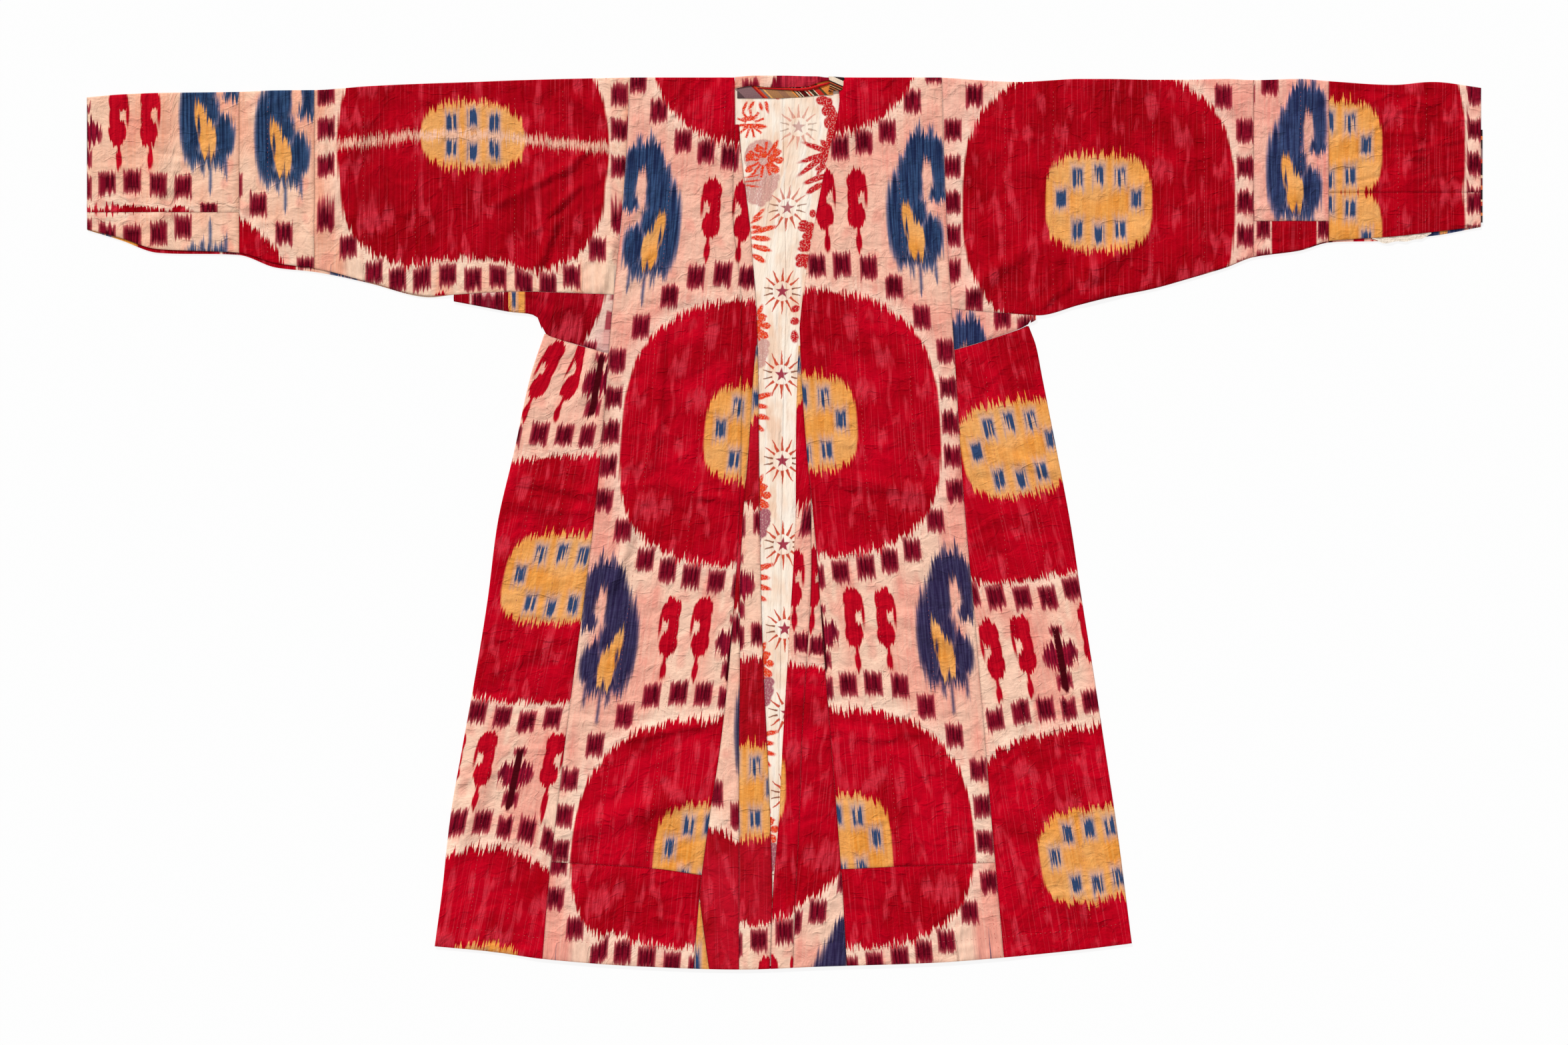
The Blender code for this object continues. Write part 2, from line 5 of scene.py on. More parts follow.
import bpy
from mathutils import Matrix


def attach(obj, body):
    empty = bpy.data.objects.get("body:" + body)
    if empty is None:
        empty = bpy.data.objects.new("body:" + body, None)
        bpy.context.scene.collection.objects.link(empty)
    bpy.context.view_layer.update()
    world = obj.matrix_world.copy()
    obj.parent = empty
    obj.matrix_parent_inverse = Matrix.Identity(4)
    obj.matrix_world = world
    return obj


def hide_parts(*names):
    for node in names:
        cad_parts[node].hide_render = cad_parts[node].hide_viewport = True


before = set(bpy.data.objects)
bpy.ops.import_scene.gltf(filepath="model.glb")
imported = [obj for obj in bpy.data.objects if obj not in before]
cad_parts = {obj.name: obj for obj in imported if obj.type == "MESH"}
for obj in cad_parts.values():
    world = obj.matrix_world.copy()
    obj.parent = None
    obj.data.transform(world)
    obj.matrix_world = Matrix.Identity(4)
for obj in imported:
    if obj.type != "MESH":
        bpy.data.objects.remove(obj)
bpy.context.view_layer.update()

# Body of a quilted silk and cotton ikat robe, laid on its back with its neck towards +Y. One loom
# width on each side runs from the join low on the front, over the shoulder and down to the back
# hem. It is quilted to its lining, and sewn to sleeve and side gore along its selvedge.
# Sizes are millimetres, and "out" is the distance from the centre line.
MM = 0.001
WALL = 2.0              # face, wadding and lining quilted together
LINING = 0.8
SEAM = 0.3
HALF = SEAM / 2
LOOM = 210              # half the loom's width
SHOULDER = 604
Front = namedtuple("Front", "y side panel band edge")
FRONT_LEFT = (
    Front(604, 208.5, 67, None, 67),
    Front(550, 211, 66.5, None, 62),
    Front(500, 214, 68, None, 58),
    Front(450, 217.4, 69, None, 52),
    Front(400, 221.6, 68, None, 46),
    Front(350, 226.6, 62, None, 42),
    Front(300, 231.8, 58, None, 38),
    Front(250, 236.3, 57.2, 37, 36.4),
    Front(200, 239.8, 57, 41.5, 35),
    Front(100, 247.5, 58, 48, 34),
    Front(0, 258, 61, 56, 33),
    Front(-100, 270.5, 67, 60, 31),
    Front(-200, 284, 75, 60, 28),
    Front(-300, 297, 86, 61, 23),
    Front(-400, 309, 101, 61, 19),
    Front(-500, 320, 114, 61, 16),
    Front(-610, 329, 123, 61, 19.5),
)
FRONT_RIGHT = (
    Front(604, 214, None, None, 71),
    Front(575, 214.8, None, None, 75),
    Front(540, 215.8, None, None, 70),
    Front(500, 217, None, None, 60),
    Front(400, 221, None, None, 40),
    Front(300, 226.5, None, None, 24.5),
    Front(262, 229, 21, None, 20.8),
    Front(200, 233, 23.5, None, 18),
    Front(100, 239, 30.5, None, 16),
    Front(30, 244, 37.5, 37, 15.8),
    Front(-50, 251, 45, 37, 13),
    Front(-100, 256, 48.5, 36, 10),
    Front(-200, 264.5, 56, 30, 4),
    Front(-300, 273, 64, 24, -2),
    Front(-400, 281, 72, 21, -7),
    Front(-500, 290, 79.5, 16, -15),
    Front(-610, 300, 85.5, 12, -18.5),
)
Across = namedtuple("Across", "out y")
JOIN_LEFT = (Across(100, -479), Across(113, -478), Across(170, -470), Across(325, -460))
JOIN_RIGHT = (Across(60, -471), Across(150, -467), Across(290, -461))
Hem = namedtuple("Hem", "x y")
HEM = (Hem(-475, -575), Hem(-400, -582), Hem(-328, -592), Hem(-200, -602), Hem(-60, -606.5),
       Hem(50, -602.5), Hem(200, -597.5), Hem(300, -590), Hem(400, -580), Hem(473, -571))
NECK_CUT = 583          # the back's neck edge
NECK_APEX = 590
BAND_APEX = 262
# Heights of the disc's middle on the two body widths, and of the middle of the pieces below
CENTRE_LEFT, CENTRE_RIGHT, LOWER_CENTRE = 122, 135, -396
LINING_FADE = 40        # run beside the lining over which the front comes down to the back


def curve(rows, along, across):
    """Smooth line through one column of a table, read by another column. It never overshoots."""
    knots = sorted((getattr(row, along), getattr(row, across))
                   for row in rows if getattr(row, across) is not None)
    rises = [(b[1] - a[1]) / (b[0] - a[0]) for a, b in zip(knots, knots[1:])]
    slopes = [rises[0]]
    for before, after in zip(rises, rises[1:]):
        slopes.append(2 * before * after / (before + after) if before * after > 0 else 0.0)
    slopes.append(rises[-1])

    def read(place):
        place = min(max(place, knots[0][0]), knots[-1][0])
        k = 0
        while k < len(knots) - 2 and place > knots[k + 1][0]:
            k += 1
        run = knots[k + 1][0] - knots[k][0]
        t = (place - knots[k][0]) / run
        start = (1 + 2 * t) * (1 - t) ** 2 * knots[k][1] + t * (1 - t) ** 2 * run * slopes[k]
        end = t * t * (3 - 2 * t) * knots[k + 1][1] + t * t * (t - 1) * run * slopes[k + 1]
        return start + end

    return read


def blend(a, b, t):
    """A value the share t of the way from one to another."""
    return a + (b - a) * t


def ease(t):
    """A share held between 0 and 1, with a soft start and end."""
    t = min(max(t, 0.0), 1.0)
    return t * t * (3 - 2 * t)


Side = namedtuple("Side", "name sign front join")
SIDES = (Side("left", -1, FRONT_LEFT, JOIN_LEFT), Side("right", 1, FRONT_RIGHT, JOIN_RIGHT))
left, right = SIDES
side_seam, panel_seam, band_seam, front_edge = [
    {s.name: curve(s.front, "y", field) for s in SIDES}
    for field in ("side", "panel", "band", "edge")]
join_seam = {s.name: curve(s.join, "out", "y") for s in SIDES}
hem = curve(HEM, "x", "y")


# Creases, each a soft ridge, or a trough where its height is below nought. CREASES lift the whole
# cloth. WRINKLES only work its face, finer and shallower.
Crease = namedtuple("Crease", "x0 y0 x1 y1 width height")
CREASES = tuple(Crease(*row) for row in (
    (-168, 262, -170, 140, 15, 4.5), (-170, 140, -186, 70, 14, 4.0),
    (-206, 18, -216, -40, 14, 5.0), (-216, -40, -238, -96, 13, 5.0),
    (-258, 240, -276, 165, 14, 5.0), (-240, 225, -250, 120, 13, 4.0),
    (-362, 60, -262, 38, 15, 4.0), (-372, 26, -268, 16, 13, 3.5), (-160, 52, -66, 26, 15, 3.5),
    (-215, -290, -95, -268, 15, 4.5), (56, -282, 150, -292, 13, 3.5),
    (-330, 352, -309, 411, 10, 6.5), (-318, 419, -274, 460, 9, 5.0),
    (-394, 430, -342, 456, 10, 4.6), (-342, 456, -292, 482, 10, 4.6),
    (-292, 482, -264, 508, 10, 4.4), (-248, 312, -239, 352, 9, 4.4),
    (-239, 352, -231, 384, 9, 4.4), (358, 380, 376, 352, 9, 4.8), (388, 338, 383, 312, 9, 4.8),
    (372, 316, 352, 294, 9, 4.8), (344, 440, 345, 394, 10, 3.6), (409, 352, 428, 326, 9, 4.2),
    (-352, 388, -322, 405, 8, 2.6), (-300, 585, -226, 540, 16, 4.0),
    (392, 316, 485, 392, 22, 4.5), (400, 304, 455, 318, 14, 3.5), (240, 305, 330, 372, 18, 5.0),
    (-120, -366, -296, -420, 26, 6.0), (98, -472, 142, -570, 22, 5.5),
    (322, -372, 402, -520, 22, 5.0), (-86, 600, -80, 500, 12, 4.0), (88, 600, 93, 520, 13, 4.5),
    (300, 90, 366, 68, 15, 4.0), (-330, -170, -398, -205, 18, 4.0), (60, 60, 190, 40, 18, 3.5),
    (-560, 560, -640, 380, 26, 4.5), (700, 585, 690, 400, 22, 4.0), (862, 590, 840, 420, 24, 4.5),
    (-855, 570, -846, 400, 22, 4.0), (150, -120, 240, -172, 20, 4.0),
    (-400, -330, -452, -470, 20, 4.5), (-150, 420, -90, 330, 18, 3.5),
))
WRINKLES = tuple(Crease(*row) for row in (
    # Left front and shoulder
    (-177, 262, -179, 150, 5.5, -1.4), (-179, 150, -188, 95, 5.5, -1.4),
    (-188, 95, -202, 48, 5.5, -1.2), (-70, 600, -74, 530, 6, 1.4), (-112, 602, -190, 508, 6, 1.3),
    (-96, 600, -152, 540, 5.5, -1.0), (-134, 598, -168, 552, 5.5, 1.1),
    (-86, 598, -118, 544, 6, 1.2), (-226, 318, -192, 316, 4.5, -1.3),
    (-182, 320, -112, 331, 5, -1.0), (-228, 354, -166, 432, 6, 1.3),
    (-222, 330, -172, 372, 5.5, 1.0), (-248, 322, -233, 372, 8, -1.4),
    (-172, 470, -182, 392, 6, 0.9), (-118, 28, -62, 24, 4.5, -1.4), (-112, 44, -64, 52, 5, 1.1),
    (-160, 80, -108, 106, 5.5, 1.3), (-176, 70, -140, 61, 4.5, -1.0),
    (-212, 74, -188, 88, 5, 1.2), (-206, 30, -150, 38, 5, 1.1), (-246, 42, -214, 46, 4.5, -1.4),
    (-194, 20, -128, 12, 5, -0.9), (-208, 170, -184, 176, 5, 0.8), (-150, 262, -146, 190, 6, 0.7),
    (-104, 250, -106, 150, 6, -0.6), (-168, 133, -186, 130, 4, -1.2),
    # Left side, down to the hem
    (-216, -6, -222, -40, 5.5, -1.4), (-222, -40, -238, -70, 5.5, -1.4),
    (-238, -70, -247, -96, 5.5, -1.4), (-247, -96, -251, -130, 5, -1.2),
    (-256, -122, -240, -120, 4, -1.2), (-232, -146, -211, -140, 4.5, -1.2),
    (-130, -222, -152, -200, 5.5, 1.0), (-300, -258, -236, -262, 5, -1.3),
    (-236, -262, -180, -268, 5, -1.1), (-302, -270, -242, -273, 5, 1.2),
    (-262, -295, -200, -285, 5, -1.4), (-200, -285, -120, -270, 5, -1.4),
    (-212, -298, -150, -282, 6, 1.2), (-120, -270, -92, -266, 5, -1.0),
    (-318, -300, -388, -300, 5, -1.2), (-186, -524, -120, -540, 5, -1.4),
    (-180, -532, -124, -548, 5.5, 1.2), (-88, -577, -46, -577, 4, -1.2),
    (-120, -408, -100, -405, 4.5, -0.9), (-300, -345, -230, -372, 7, 1.3),
    (-214, -400, -196, -480, 7, 0.9), (-152, -432, -172, -500, 7, 0.8),
    (-352, 25, -292, 20, 5, -1.4), (-292, 20, -240, 24, 5, -1.2), (-362, 46, -292, 38, 5, -1.3),
    (-292, 38, -250, 43, 5, 1.2), (-338, 90, -288, 88, 5, -1.0), (-372, 2, -330, -6, 5.5, 1.2),
    (-372, -62, -316, -70, 5, -1.1), (-332, -84, -284, -74, 5.5, 1.1),
    (-384, -112, -312, -106, 5, -1.3), (-376, -122, -292, -128, 5, 1.2),
    (-344, -132, -284, -138, 4.5, -1.1), (-392, -158, -332, -172, 5.5, 1.2),
    (-340, -200, -308, -190, 5, -1.2), (-308, -190, -276, -193, 5, 1.0),
    (-414, -232, -364, -227, 5, -1.3), (-406, -212, -342, -236, 6, 1.2),
    (-372, -228, -316, -240, 5, -1.0), (-344, -282, -302, -288, 5, 1.0),
    (-424, -300, -386, -306, 5, 1.0), (-432, -344, -396, -372, 6, 1.1),
    (-372, -500, -332, -528, 6, 1.0), (-442, -540, -402, -562, 5.5, 1.2),
    (-426, -500, -436, -548, 6, -0.9), (-392, -560, -344, -552, 5, -1.1),
    (-456, -562, -400, -570, 5, -1.2), (-400, -570, -332, -574, 5, -1.2),
    (-352, 306, -300, 292, 6, -1.6), (-318, 282, -272, 303, 6, 1.5),
    (-314, 253, -288, 276, 6, -1.6), (-336, 292, -290, 262, 7, 1.4),
    (-284, 262, -262, 300, 6, -1.2), (-262, 244, -258, 290, 5, 1.3),
    (-300, 244, -303, 206, 4.5, -1.4), (-256, 232, -251, 190, 4.5, -1.2),
    (-284, 238, -277, 212, 5, 1.1), (-330, 246, -336, 206, 5, -1.0),
    # Right front and side
    (155, 353, 200, 352, 4.5, -1.4), (200, 352, 242, 358, 4.5, -1.3),
    (166, 311, 240, 305, 4.5, -0.9), (82, 604, 92, 512, 6, 1.4), (98, 602, 100, 546, 5, -1.3),
    (72, 560, 84, 516, 5.5, 1.2), (118, 602, 110, 560, 5.5, 0.9), (130, 62, 200, 55, 4.5, -1.0),
    (115, 38, 170, 38, 4.5, -0.9), (30, 272, 44, 286, 5, -1.2), (28, 252, 46, 262, 5, 1.1),
    (26, 236, 40, 240, 4.5, -0.9), (60, 300, 140, 306, 7, 0.6), (104, 250, 110, 120, 7, 0.7),
    (250, 165, 300, 211, 5.5, 1.1), (300, 211, 330, 232, 5.5, 1.0), (264, 222, 280, 196, 5, -1.0),
    (296, 96, 330, 112, 5, 1.0), (262, 110, 290, 84, 5, -0.8), (272, 60, 340, 66, 5, -0.9),
    (64, -286, 130, -288, 5, -1.4), (130, -288, 202, -294, 5, -1.3),
    (130, -299, 152, -291, 4.5, 1.1), (60, -160, 150, -150, 7, 0.7),
    (180, -390, 190, -360, 4.5, -1.3), (190, -360, 208, -341, 4.5, -1.3),
    (200, -401, 214, -392, 4.5, -1.2), (214, -392, 230, -400, 4.5, -1.2),
    (222, -386, 238, -362, 4.5, -1.3), (186, -352, 204, -346, 4.5, -1.3),
    (206, -320, 226, -322, 4.5, -1.1), (210, -366, 226, -350, 5, 1.2),
    (172, -402, 160, -470, 6, 0.9), (100, -475, 118, -510, 6, -1.4),
    (118, -510, 150, -565, 6, -1.4), (150, -530, 160, -490, 5, -1.2),
    (160, -490, 181, -455, 5, -1.2), (134, -520, 160, -548, 5, 1.1),
    (200, -545, 246, -514, 5.5, 1.3), (194, -552, 236, -528, 5, -1.2),
    (250, -480, 286, -455, 5, -1.4), (284, -340, 268, -352, 5, 1.1),
    (280, -344, 322, -311, 5, 1.2), (322, -311, 352, -305, 5, 1.1),
    (366, -322, 400, -318, 5, -1.2), (400, -318, 442, -330, 5, -1.2),
    (376, -340, 432, -346, 5, 1.1), (344, -478, 312, -532, 5.5, -1.4),
    (352, -482, 330, -520, 5.5, 1.3), (405, -505, 386, -552, 5, -1.4),
    (304, -560, 350, -552, 4.5, -1.3), (350, -552, 440, -548, 4.5, -1.2),
    (430, -548, 460, -566, 5, -1.2), (288, -420, 306, -400, 5, 1.1),
    (284, -452, 306, -440, 5, 1.1), (400, -205, 426, -198, 5, -1.2),
    (280, -510, 300, -560, 6, 1.2), (8, -340, 20, -322, 4.5, -1.1),
    (0, -408, 22, -402, 4.5, -1.1), (4, -366, 24, -352, 4.5, 1.0), (-4, -460, 24, -450, 5, 1.0),
    (6, -500, 30, -486, 5, -1.0),
    # Sleeves
    (-376, 430, -300, 462, 6, 1.3), (-300, 462, -234, 479, 6, 1.3),
    (-318, 408, -290, 428, 5, -1.5), (-256, 446, -230, 480, 6, -1.4),
    (-342, 560, -298, 590, 6, -1.1), (-470, 455, -418, 408, 6, 1.3),
    (-350, 382, -318, 401, 5, -1.5), (-316, 356, -299, 405, 5.5, -1.8),
    (-600, 424, -545, 386, 6, 1.2), (-612, 560, -604, 500, 6, -1.1),
    (-604, 586, -588, 528, 5, -1.2), (-628, 548, -622, 470, 5.5, 1.0),
    (-540, 470, -470, 430, 6, 0.9), (-720, 420, -680, 470, 6, 1.1),
    (-712, 398, -676, 406, 5, -1.1), (-780, 560, -760, 500, 7, 0.9),
    (-752, 500, -742, 400, 7, 1.2), (-905, 470, -820, 452, 6, 0.8),
    (-872, 398, -852, 440, 5, 0.9), (-520, 592, -470, 566, 6, 1.0), (380, 330, 361, 295, 6, -1.6),
    (388, 380, 394, 318, 6, 1.4), (408, 342, 452, 362, 6, 1.3), (400, 325, 372, 300, 5.5, -1.3),
    (312, 596, 306, 500, 6, -1.4), (309, 562, 341, 561, 4, -1.2), (250, 470, 300, 430, 4.5, -1.0),
    (300, 430, 346, 380, 4.5, -1.1), (270, 415, 301, 412, 4, -1.1),
    (256, 365, 310, 376, 4.5, -0.9), (330, 560, 340, 470, 7, 1.1), (560, 420, 640, 452, 6, 1.0),
    (560, 380, 604, 372, 5.5, 1.1), (655, 470, 662, 560, 6, 0.9), (672, 420, 700, 380, 5.5, 1.0),
    (774, 462, 812, 470, 4.5, -1.3), (826, 596, 818, 520, 6, -1.1), (800, 430, 812, 560, 6, 0.9),
    (810, 500, 874, 502, 4.5, -0.8), (890, 470, 900, 560, 6, 1.0), (798, 556, 868, 552, 5, -0.8),
    (760, 380, 790, 374, 5, -1.0),
))
# Smaller wrinkles of wear, as many to a zone as it shows, leaning its way
Zone = namedtuple("Zone", "x0 y0 x1 y1 count lean")
ZONES = (
    Zone(-470, -600, -60, -230, 170, 6), Zone(-430, -230, -60, 60, 90, 4),
    Zone(-350, 60, -60, 600, 90, 36), Zone(0, -600, 470, -260, 170, 8),
    Zone(30, -260, 430, 60, 70, -4), Zone(60, 60, 330, 600, 60, 4),
    Zone(-620, 300, -220, 600, 90, 40), Zone(-945, 380, -620, 590, 80, 20),
    Zone(230, 290, 620, 600, 70, -40), Zone(620, 370, 945, 600, 70, 12),
)
WEAR_SEED = 5
CELL = 40.0             # creases are looked up by the squares of a grid


def small_wrinkles():
    """Wrinkles strewn over each zone, always the same."""
    draw = random.Random(WEAR_SEED)
    found = []
    for zone in ZONES:
        for _ in range(zone.count):
            x, y = draw.uniform(zone.x0, zone.x1), draw.uniform(zone.y0, zone.y1)
            lean = math.radians(zone.lean + draw.gauss(0, 20))
            reach = draw.uniform(9, 42)
            dx, dy = reach * math.cos(lean), reach * math.sin(lean)
            height = draw.uniform(0.35, 1.2) * draw.choice((-1, 1))
            found.append(Crease(x - dx, y - dy, x + dx, y + dy, draw.uniform(5, 9), height))
    return found


def crease_cells(creases):
    """Creases by the squares of the grid that they reach."""
    cells = {}
    for c in creases:
        low_x, high_x = min(c.x0, c.x1) - c.width, max(c.x0, c.x1) + c.width
        low_y, high_y = min(c.y0, c.y1) - c.width, max(c.y0, c.y1) + c.width
        for i in range(int(low_x // CELL), int(high_x // CELL) + 1):
            for j in range(int(low_y // CELL), int(high_y // CELL) + 1):
                cells.setdefault((i, j), []).append(c)
    return cells


lifted, wrinkled = crease_cells(CREASES), crease_cells([*WRINKLES, *small_wrinkles()])


def raised(cells, x, y):
    """Height that the creases near a point add, fading out aside and at their ends."""
    total = 0.0
    for c in cells.get((int(x // CELL), int(y // CELL)), ()):
        dx, dy = c.x1 - c.x0, c.y1 - c.y0
        length = math.hypot(dx, dy)
        along = ((x - c.x0) * dx + (y - c.y0) * dy) / length
        aside = ((x - c.x0) * dy - (y - c.y0) * dx) / length
        if -c.width < along < length + c.width and abs(aside) < c.width:
            ends = ease((along + c.width) / (2 * c.width))
            ends *= ease((length + c.width - along) / (2 * c.width))
            total += c.height * ends * math.cos(math.pi * aside / (2 * c.width)) ** 2
    return total


def under(x, y):
    """Underside of the front layer: it lies on the lining, and beside it on the back."""
    name = "left" if x < 0 else "right"
    lift = (LINING + SEAM) * (1 - ease((abs(x) - side_seam[name](y)) / LINING_FADE))
    return WALL + SEAM + lift + raised(lifted, x, y)


# Slow unevenness of a hand-quilted cloth that has been worn and folded: a few waves of unlike
# length, so that no two stretches are alike.
Wave = namedtuple("Wave", "across down shift height")
WAVES = (Wave(61, 190, 0.3, 0.35), Wave(-97, 140, 1.9, 0.3), Wave(38, -86, 4.1, 0.22),
         Wave(210, 47, 2.6, 0.28), Wave(-27, 71, 5.2, 0.14), Wave(19, 160, 0.9, 0.12),
         Wave(310, -31, 3.3, 0.18))


def uneven(x, y):
    """Height that the waves add at a point."""
    total = 0.0
    for w in WAVES:
        total += w.height * math.sin(2 * math.pi * (x / w.across + y / w.down) + w.shift)
    return total


EDGE_ROLL = 0.7         # how far the face dips into a seam
EDGE_RUN = 4.5
RELIEF_RUN = 7          # wrinkles and unevenness start this far from a seam
LEAST_WALL = 0.5


def face_point(x, y, rim):
    """A point of the front layer, outside and inside, dipped towards the nearest seam."""
    low = under(x, y)
    dip = EDGE_ROLL * (1 - ease(rim / EDGE_RUN)) ** 2
    relief = (raised(wrinkled, x, y) + uneven(x, y)) * ease(rim / RELIEF_RUN)
    return (x, y, low + max(WALL + relief - dip, LEAST_WALL)), (x, y, low)


def back_point(x, y):
    """A point of the back, which lies flat on the floor, outside and inside."""
    return (x, y, 0.0), (x, y, WALL)


Fold = namedtuple("Fold", "angle slack")
FOLD = (Fold(90, 1.0), Fold(60, 0.55), Fold(30, 0.2), Fold(0, 0.0), Fold(-30, 0.2),
        Fold(-60, 0.55), Fold(-90, 1.0))
FOLD_GAP = 1.2          # how far the inside stands back where the fold ends


def fold_points(x, y, inward, low, wall=WALL):
    """Points round a folded edge at (x, y). low is the underside of the upper layer."""
    radius = (low + wall) / 2
    points = []
    for step in FOLD:
        turn = math.radians(step.angle)
        out = radius * (1 - math.cos(turn))
        inset = radius + FOLD_GAP * step.slack
        inner_z = low if step.angle > 0 else wall if step.angle < 0 else (low + wall) / 2
        outer = (x + inward[0] * out, y + inward[1] * out, radius * (1 + math.sin(turn)))
        inner = (x + inward[0] * inset, y + inward[1] * inset, inner_z)
        points.append((outer, inner))
    return points


# Every piece of cloth is a closed wall. It carries its own cloth coordinates in millimetres
# (across the loom, along the warp) in "Cloth", and in "Rim" how far a point is from the line
# where the warp pattern turns back, and from the piece's edge.
SMOOTH_ANGLE = 50


def wall(name, sections):
    """Closed wall from sections of (outer, inner, cloth, rim) points. None leaves one out."""
    verts, faces, cloths, rims = [], [], [], []
    index = {}
    for i, section in enumerate(sections):
        for j, point in enumerate(section):
            if point is not None:
                index[i, j] = len(verts)
                outer, inner, cloth, rim = point
                verts += [tuple(v * MM for v in outer), tuple(v * MM for v in inner)]
                cloths += [cloth, cloth]
                rims += [rim, rim]
    sides = {}
    for i, j in index:
        cell = ((i, j), (i + 1, j), (i + 1, j + 1), (i, j + 1))
        if all(corner in index for corner in cell):
            faces.append([index[corner] for corner in cell])
            faces.append([index[corner] + 1 for corner in reversed(cell)])
            for a, b in zip(cell, cell[1:] + cell[:1]):
                if (b, a) in sides:
                    del sides[b, a]
                else:
                    sides[a, b] = True
    for a, b in sides:
        faces.append((index[b], index[a], index[a] + 1, index[b] + 1))
    mesh = bpy.data.meshes.new(name)
    mesh.from_pydata(verts, [], faces)
    mesh.validate()
    for layer_name, values in (("Cloth", cloths), ("Rim", rims)):
        layer = mesh.uv_layers.new(name=layer_name)
        for corner in mesh.loops:
            spot = values[corner.vertex_index]
            layer.data[corner.index].uv = (spot[0] * MM, spot[1] * MM)
    top = max(range(len(mesh.polygons)), key=lambda k: mesh.polygons[k].center.z)
    if mesh.polygons[top].normal.z < 0:
        mesh.flip_normals()
    mesh.shade_smooth()
    mesh.set_sharp_from_angle(angle=math.radians(SMOOTH_ANGLE))
    piece = bpy.data.objects.new(name, mesh)
    bpy.context.scene.collection.objects.link(piece)
    return piece


def stations(length, step, rim=(1.2, 3.2)):
    """Shares of a length in even steps, closer together at both ends."""
    near = [r / length for r in (0, *rim)]
    count = max(1, round((length - 2 * rim[-1]) / step))
    middle = [near[-1] + (1 - 2 * near[-1]) * k / count for k in range(1, count)]
    return near + middle + [1 - s for s in reversed(near)]


def meeting(line, across):
    """Where a seam that runs up the body, line(y), meets one that runs across it, across(out)."""
    y = across(250)             # anywhere near: a few rounds settle it
    for _ in range(8):
        y = across(line(y))
    return line(y), y


# Ikat: warp-dyed silk on a cotton weft. The warp is tied and dyed before weaving, so the pattern
# is one half drawn twice about the loom's middle, it repeats along the warp, and its edges run
# ragged where bundles of warp slipped. Crimson discs with an ochre heart stand in rings of maroon
# squares, and blue paisleys and red drops fill the field between them.
REPEAT = 568
Mark = namedtuple("Mark", "u v wide high turn", defaults=(0,))
# Squares round the disc, from below it to above it
RING = (Mark(0, -208, 24, 32), Mark(34, -202, 24, 32), Mark(69, -195, 25, 33),
        Mark(102, -187, 24, 32), Mark(134, -172, 24, 31), Mark(169, -132, 24, 31),
        Mark(199, -92, 24, 30), Mark(199, -45, 24, 30), Mark(199, 0, 24, 31),
        Mark(199, 48, 24, 30), Mark(198, 98, 24, 31), Mark(169, 144, 24, 31),
        Mark(134, 184, 24, 31), Mark(101, 211, 24, 32), Mark(65, 215, 25, 33),
        Mark(31, 213, 24, 32), Mark(0, 208, 21, 31))
# Two red drops with a hook and a drip: body, shoulder, head, hook, drip and its end
DROPS = tuple(Mark(u + du, v, wide, high)
              for u in (46, 89)
              for du, v, wide, high in ((-1, 282, 25, 36), (-5, 304, 15, 50), (0.5, 327, 27, 36),
                                        (13, 310, 4.6, 38), (1, 259, 4.4, 34), (1, 245, 8.5, 28)))
# Blue paisley: head, long outer limb, hook, lower limb, the slant between them and the neck,
# then its straight foot, drips and spikes
PAISLEY = (Mark(183, 365, 56, 60), Mark(145, 277, 34, 132), Mark(202, 341, 20, 80),
           Mark(190, 252, 31, 66), Mark(173, 286, 24, 46), Mark(162, 328, 38, 84),
           Mark(199, 312, 26, 26))
PAISLEY_BARS = (Mark(167, 223, 54, 26), Mark(192, 207, 5, 24), Mark(171, 198, 4.6, 44),
                Mark(160, 212, 7, 26), Mark(146, 222, 7, 30), Mark(193, 392, 8, 24),
                Mark(176, 390, 9, 28))
PAISLEY_GAP = (Mark(186, 334, 13, 44), Mark(196, 290, 26, 15))
PAISLEY_HEART = (Mark(162, 259, 18, 82, 12), Mark(168, 245, 22, 52))
PAISLEY_FLECK = (Mark(155.5, 264, 4.5, 24), Mark(169, 224, 4.5, 20))
# Maroon cross on the middle of the field
CROSS_BAR = (Mark(0, 277, 9, 84),)
CROSS_ARMS = (Mark(0, 281, 50, 39),)
CROSS_FOOT = (Mark(0, 246, 22, 23), Mark(0, 316, 18, 12))
HEART_FLECK = (Mark(0, 38, 18, 33), Mark(29, 35, 18, 33), Mark(51, 6, 18, 32),
               Mark(0, -41, 18, 32), Mark(29, -36, 18, 32))


def srgb(code):
    """Linear colour from an sRGB hex code."""
    parts = [int(code[k:k + 2], 16) / 255 for k in (0, 2, 4)]
    return (*[p / 12.92 if p <= 0.04045 else ((p + 0.055) / 1.055) ** 2.4 for p in parts], 1.0)


def node(tree, kind, inputs=None, **settings):
    """Adds one node, with its settings, its fixed values and its links."""
    made = tree.nodes.new(kind if kind.startswith("NodeGroup") else f"ShaderNode{kind}")
    for name, value in settings.items():
        setattr(made, name, value)
    for key, value in (inputs or {}).items():
        if isinstance(value, bpy.types.NodeSocket):
            tree.links.new(value, made.inputs[key])
        elif isinstance(value, bpy.types.Node):
            tree.links.new(value.outputs[0], made.inputs[key])
        else:
            made.inputs[key].default_value = value
    return made


WARP_SOFT = 0.45        # an edge across the warp is as much softer than one along it


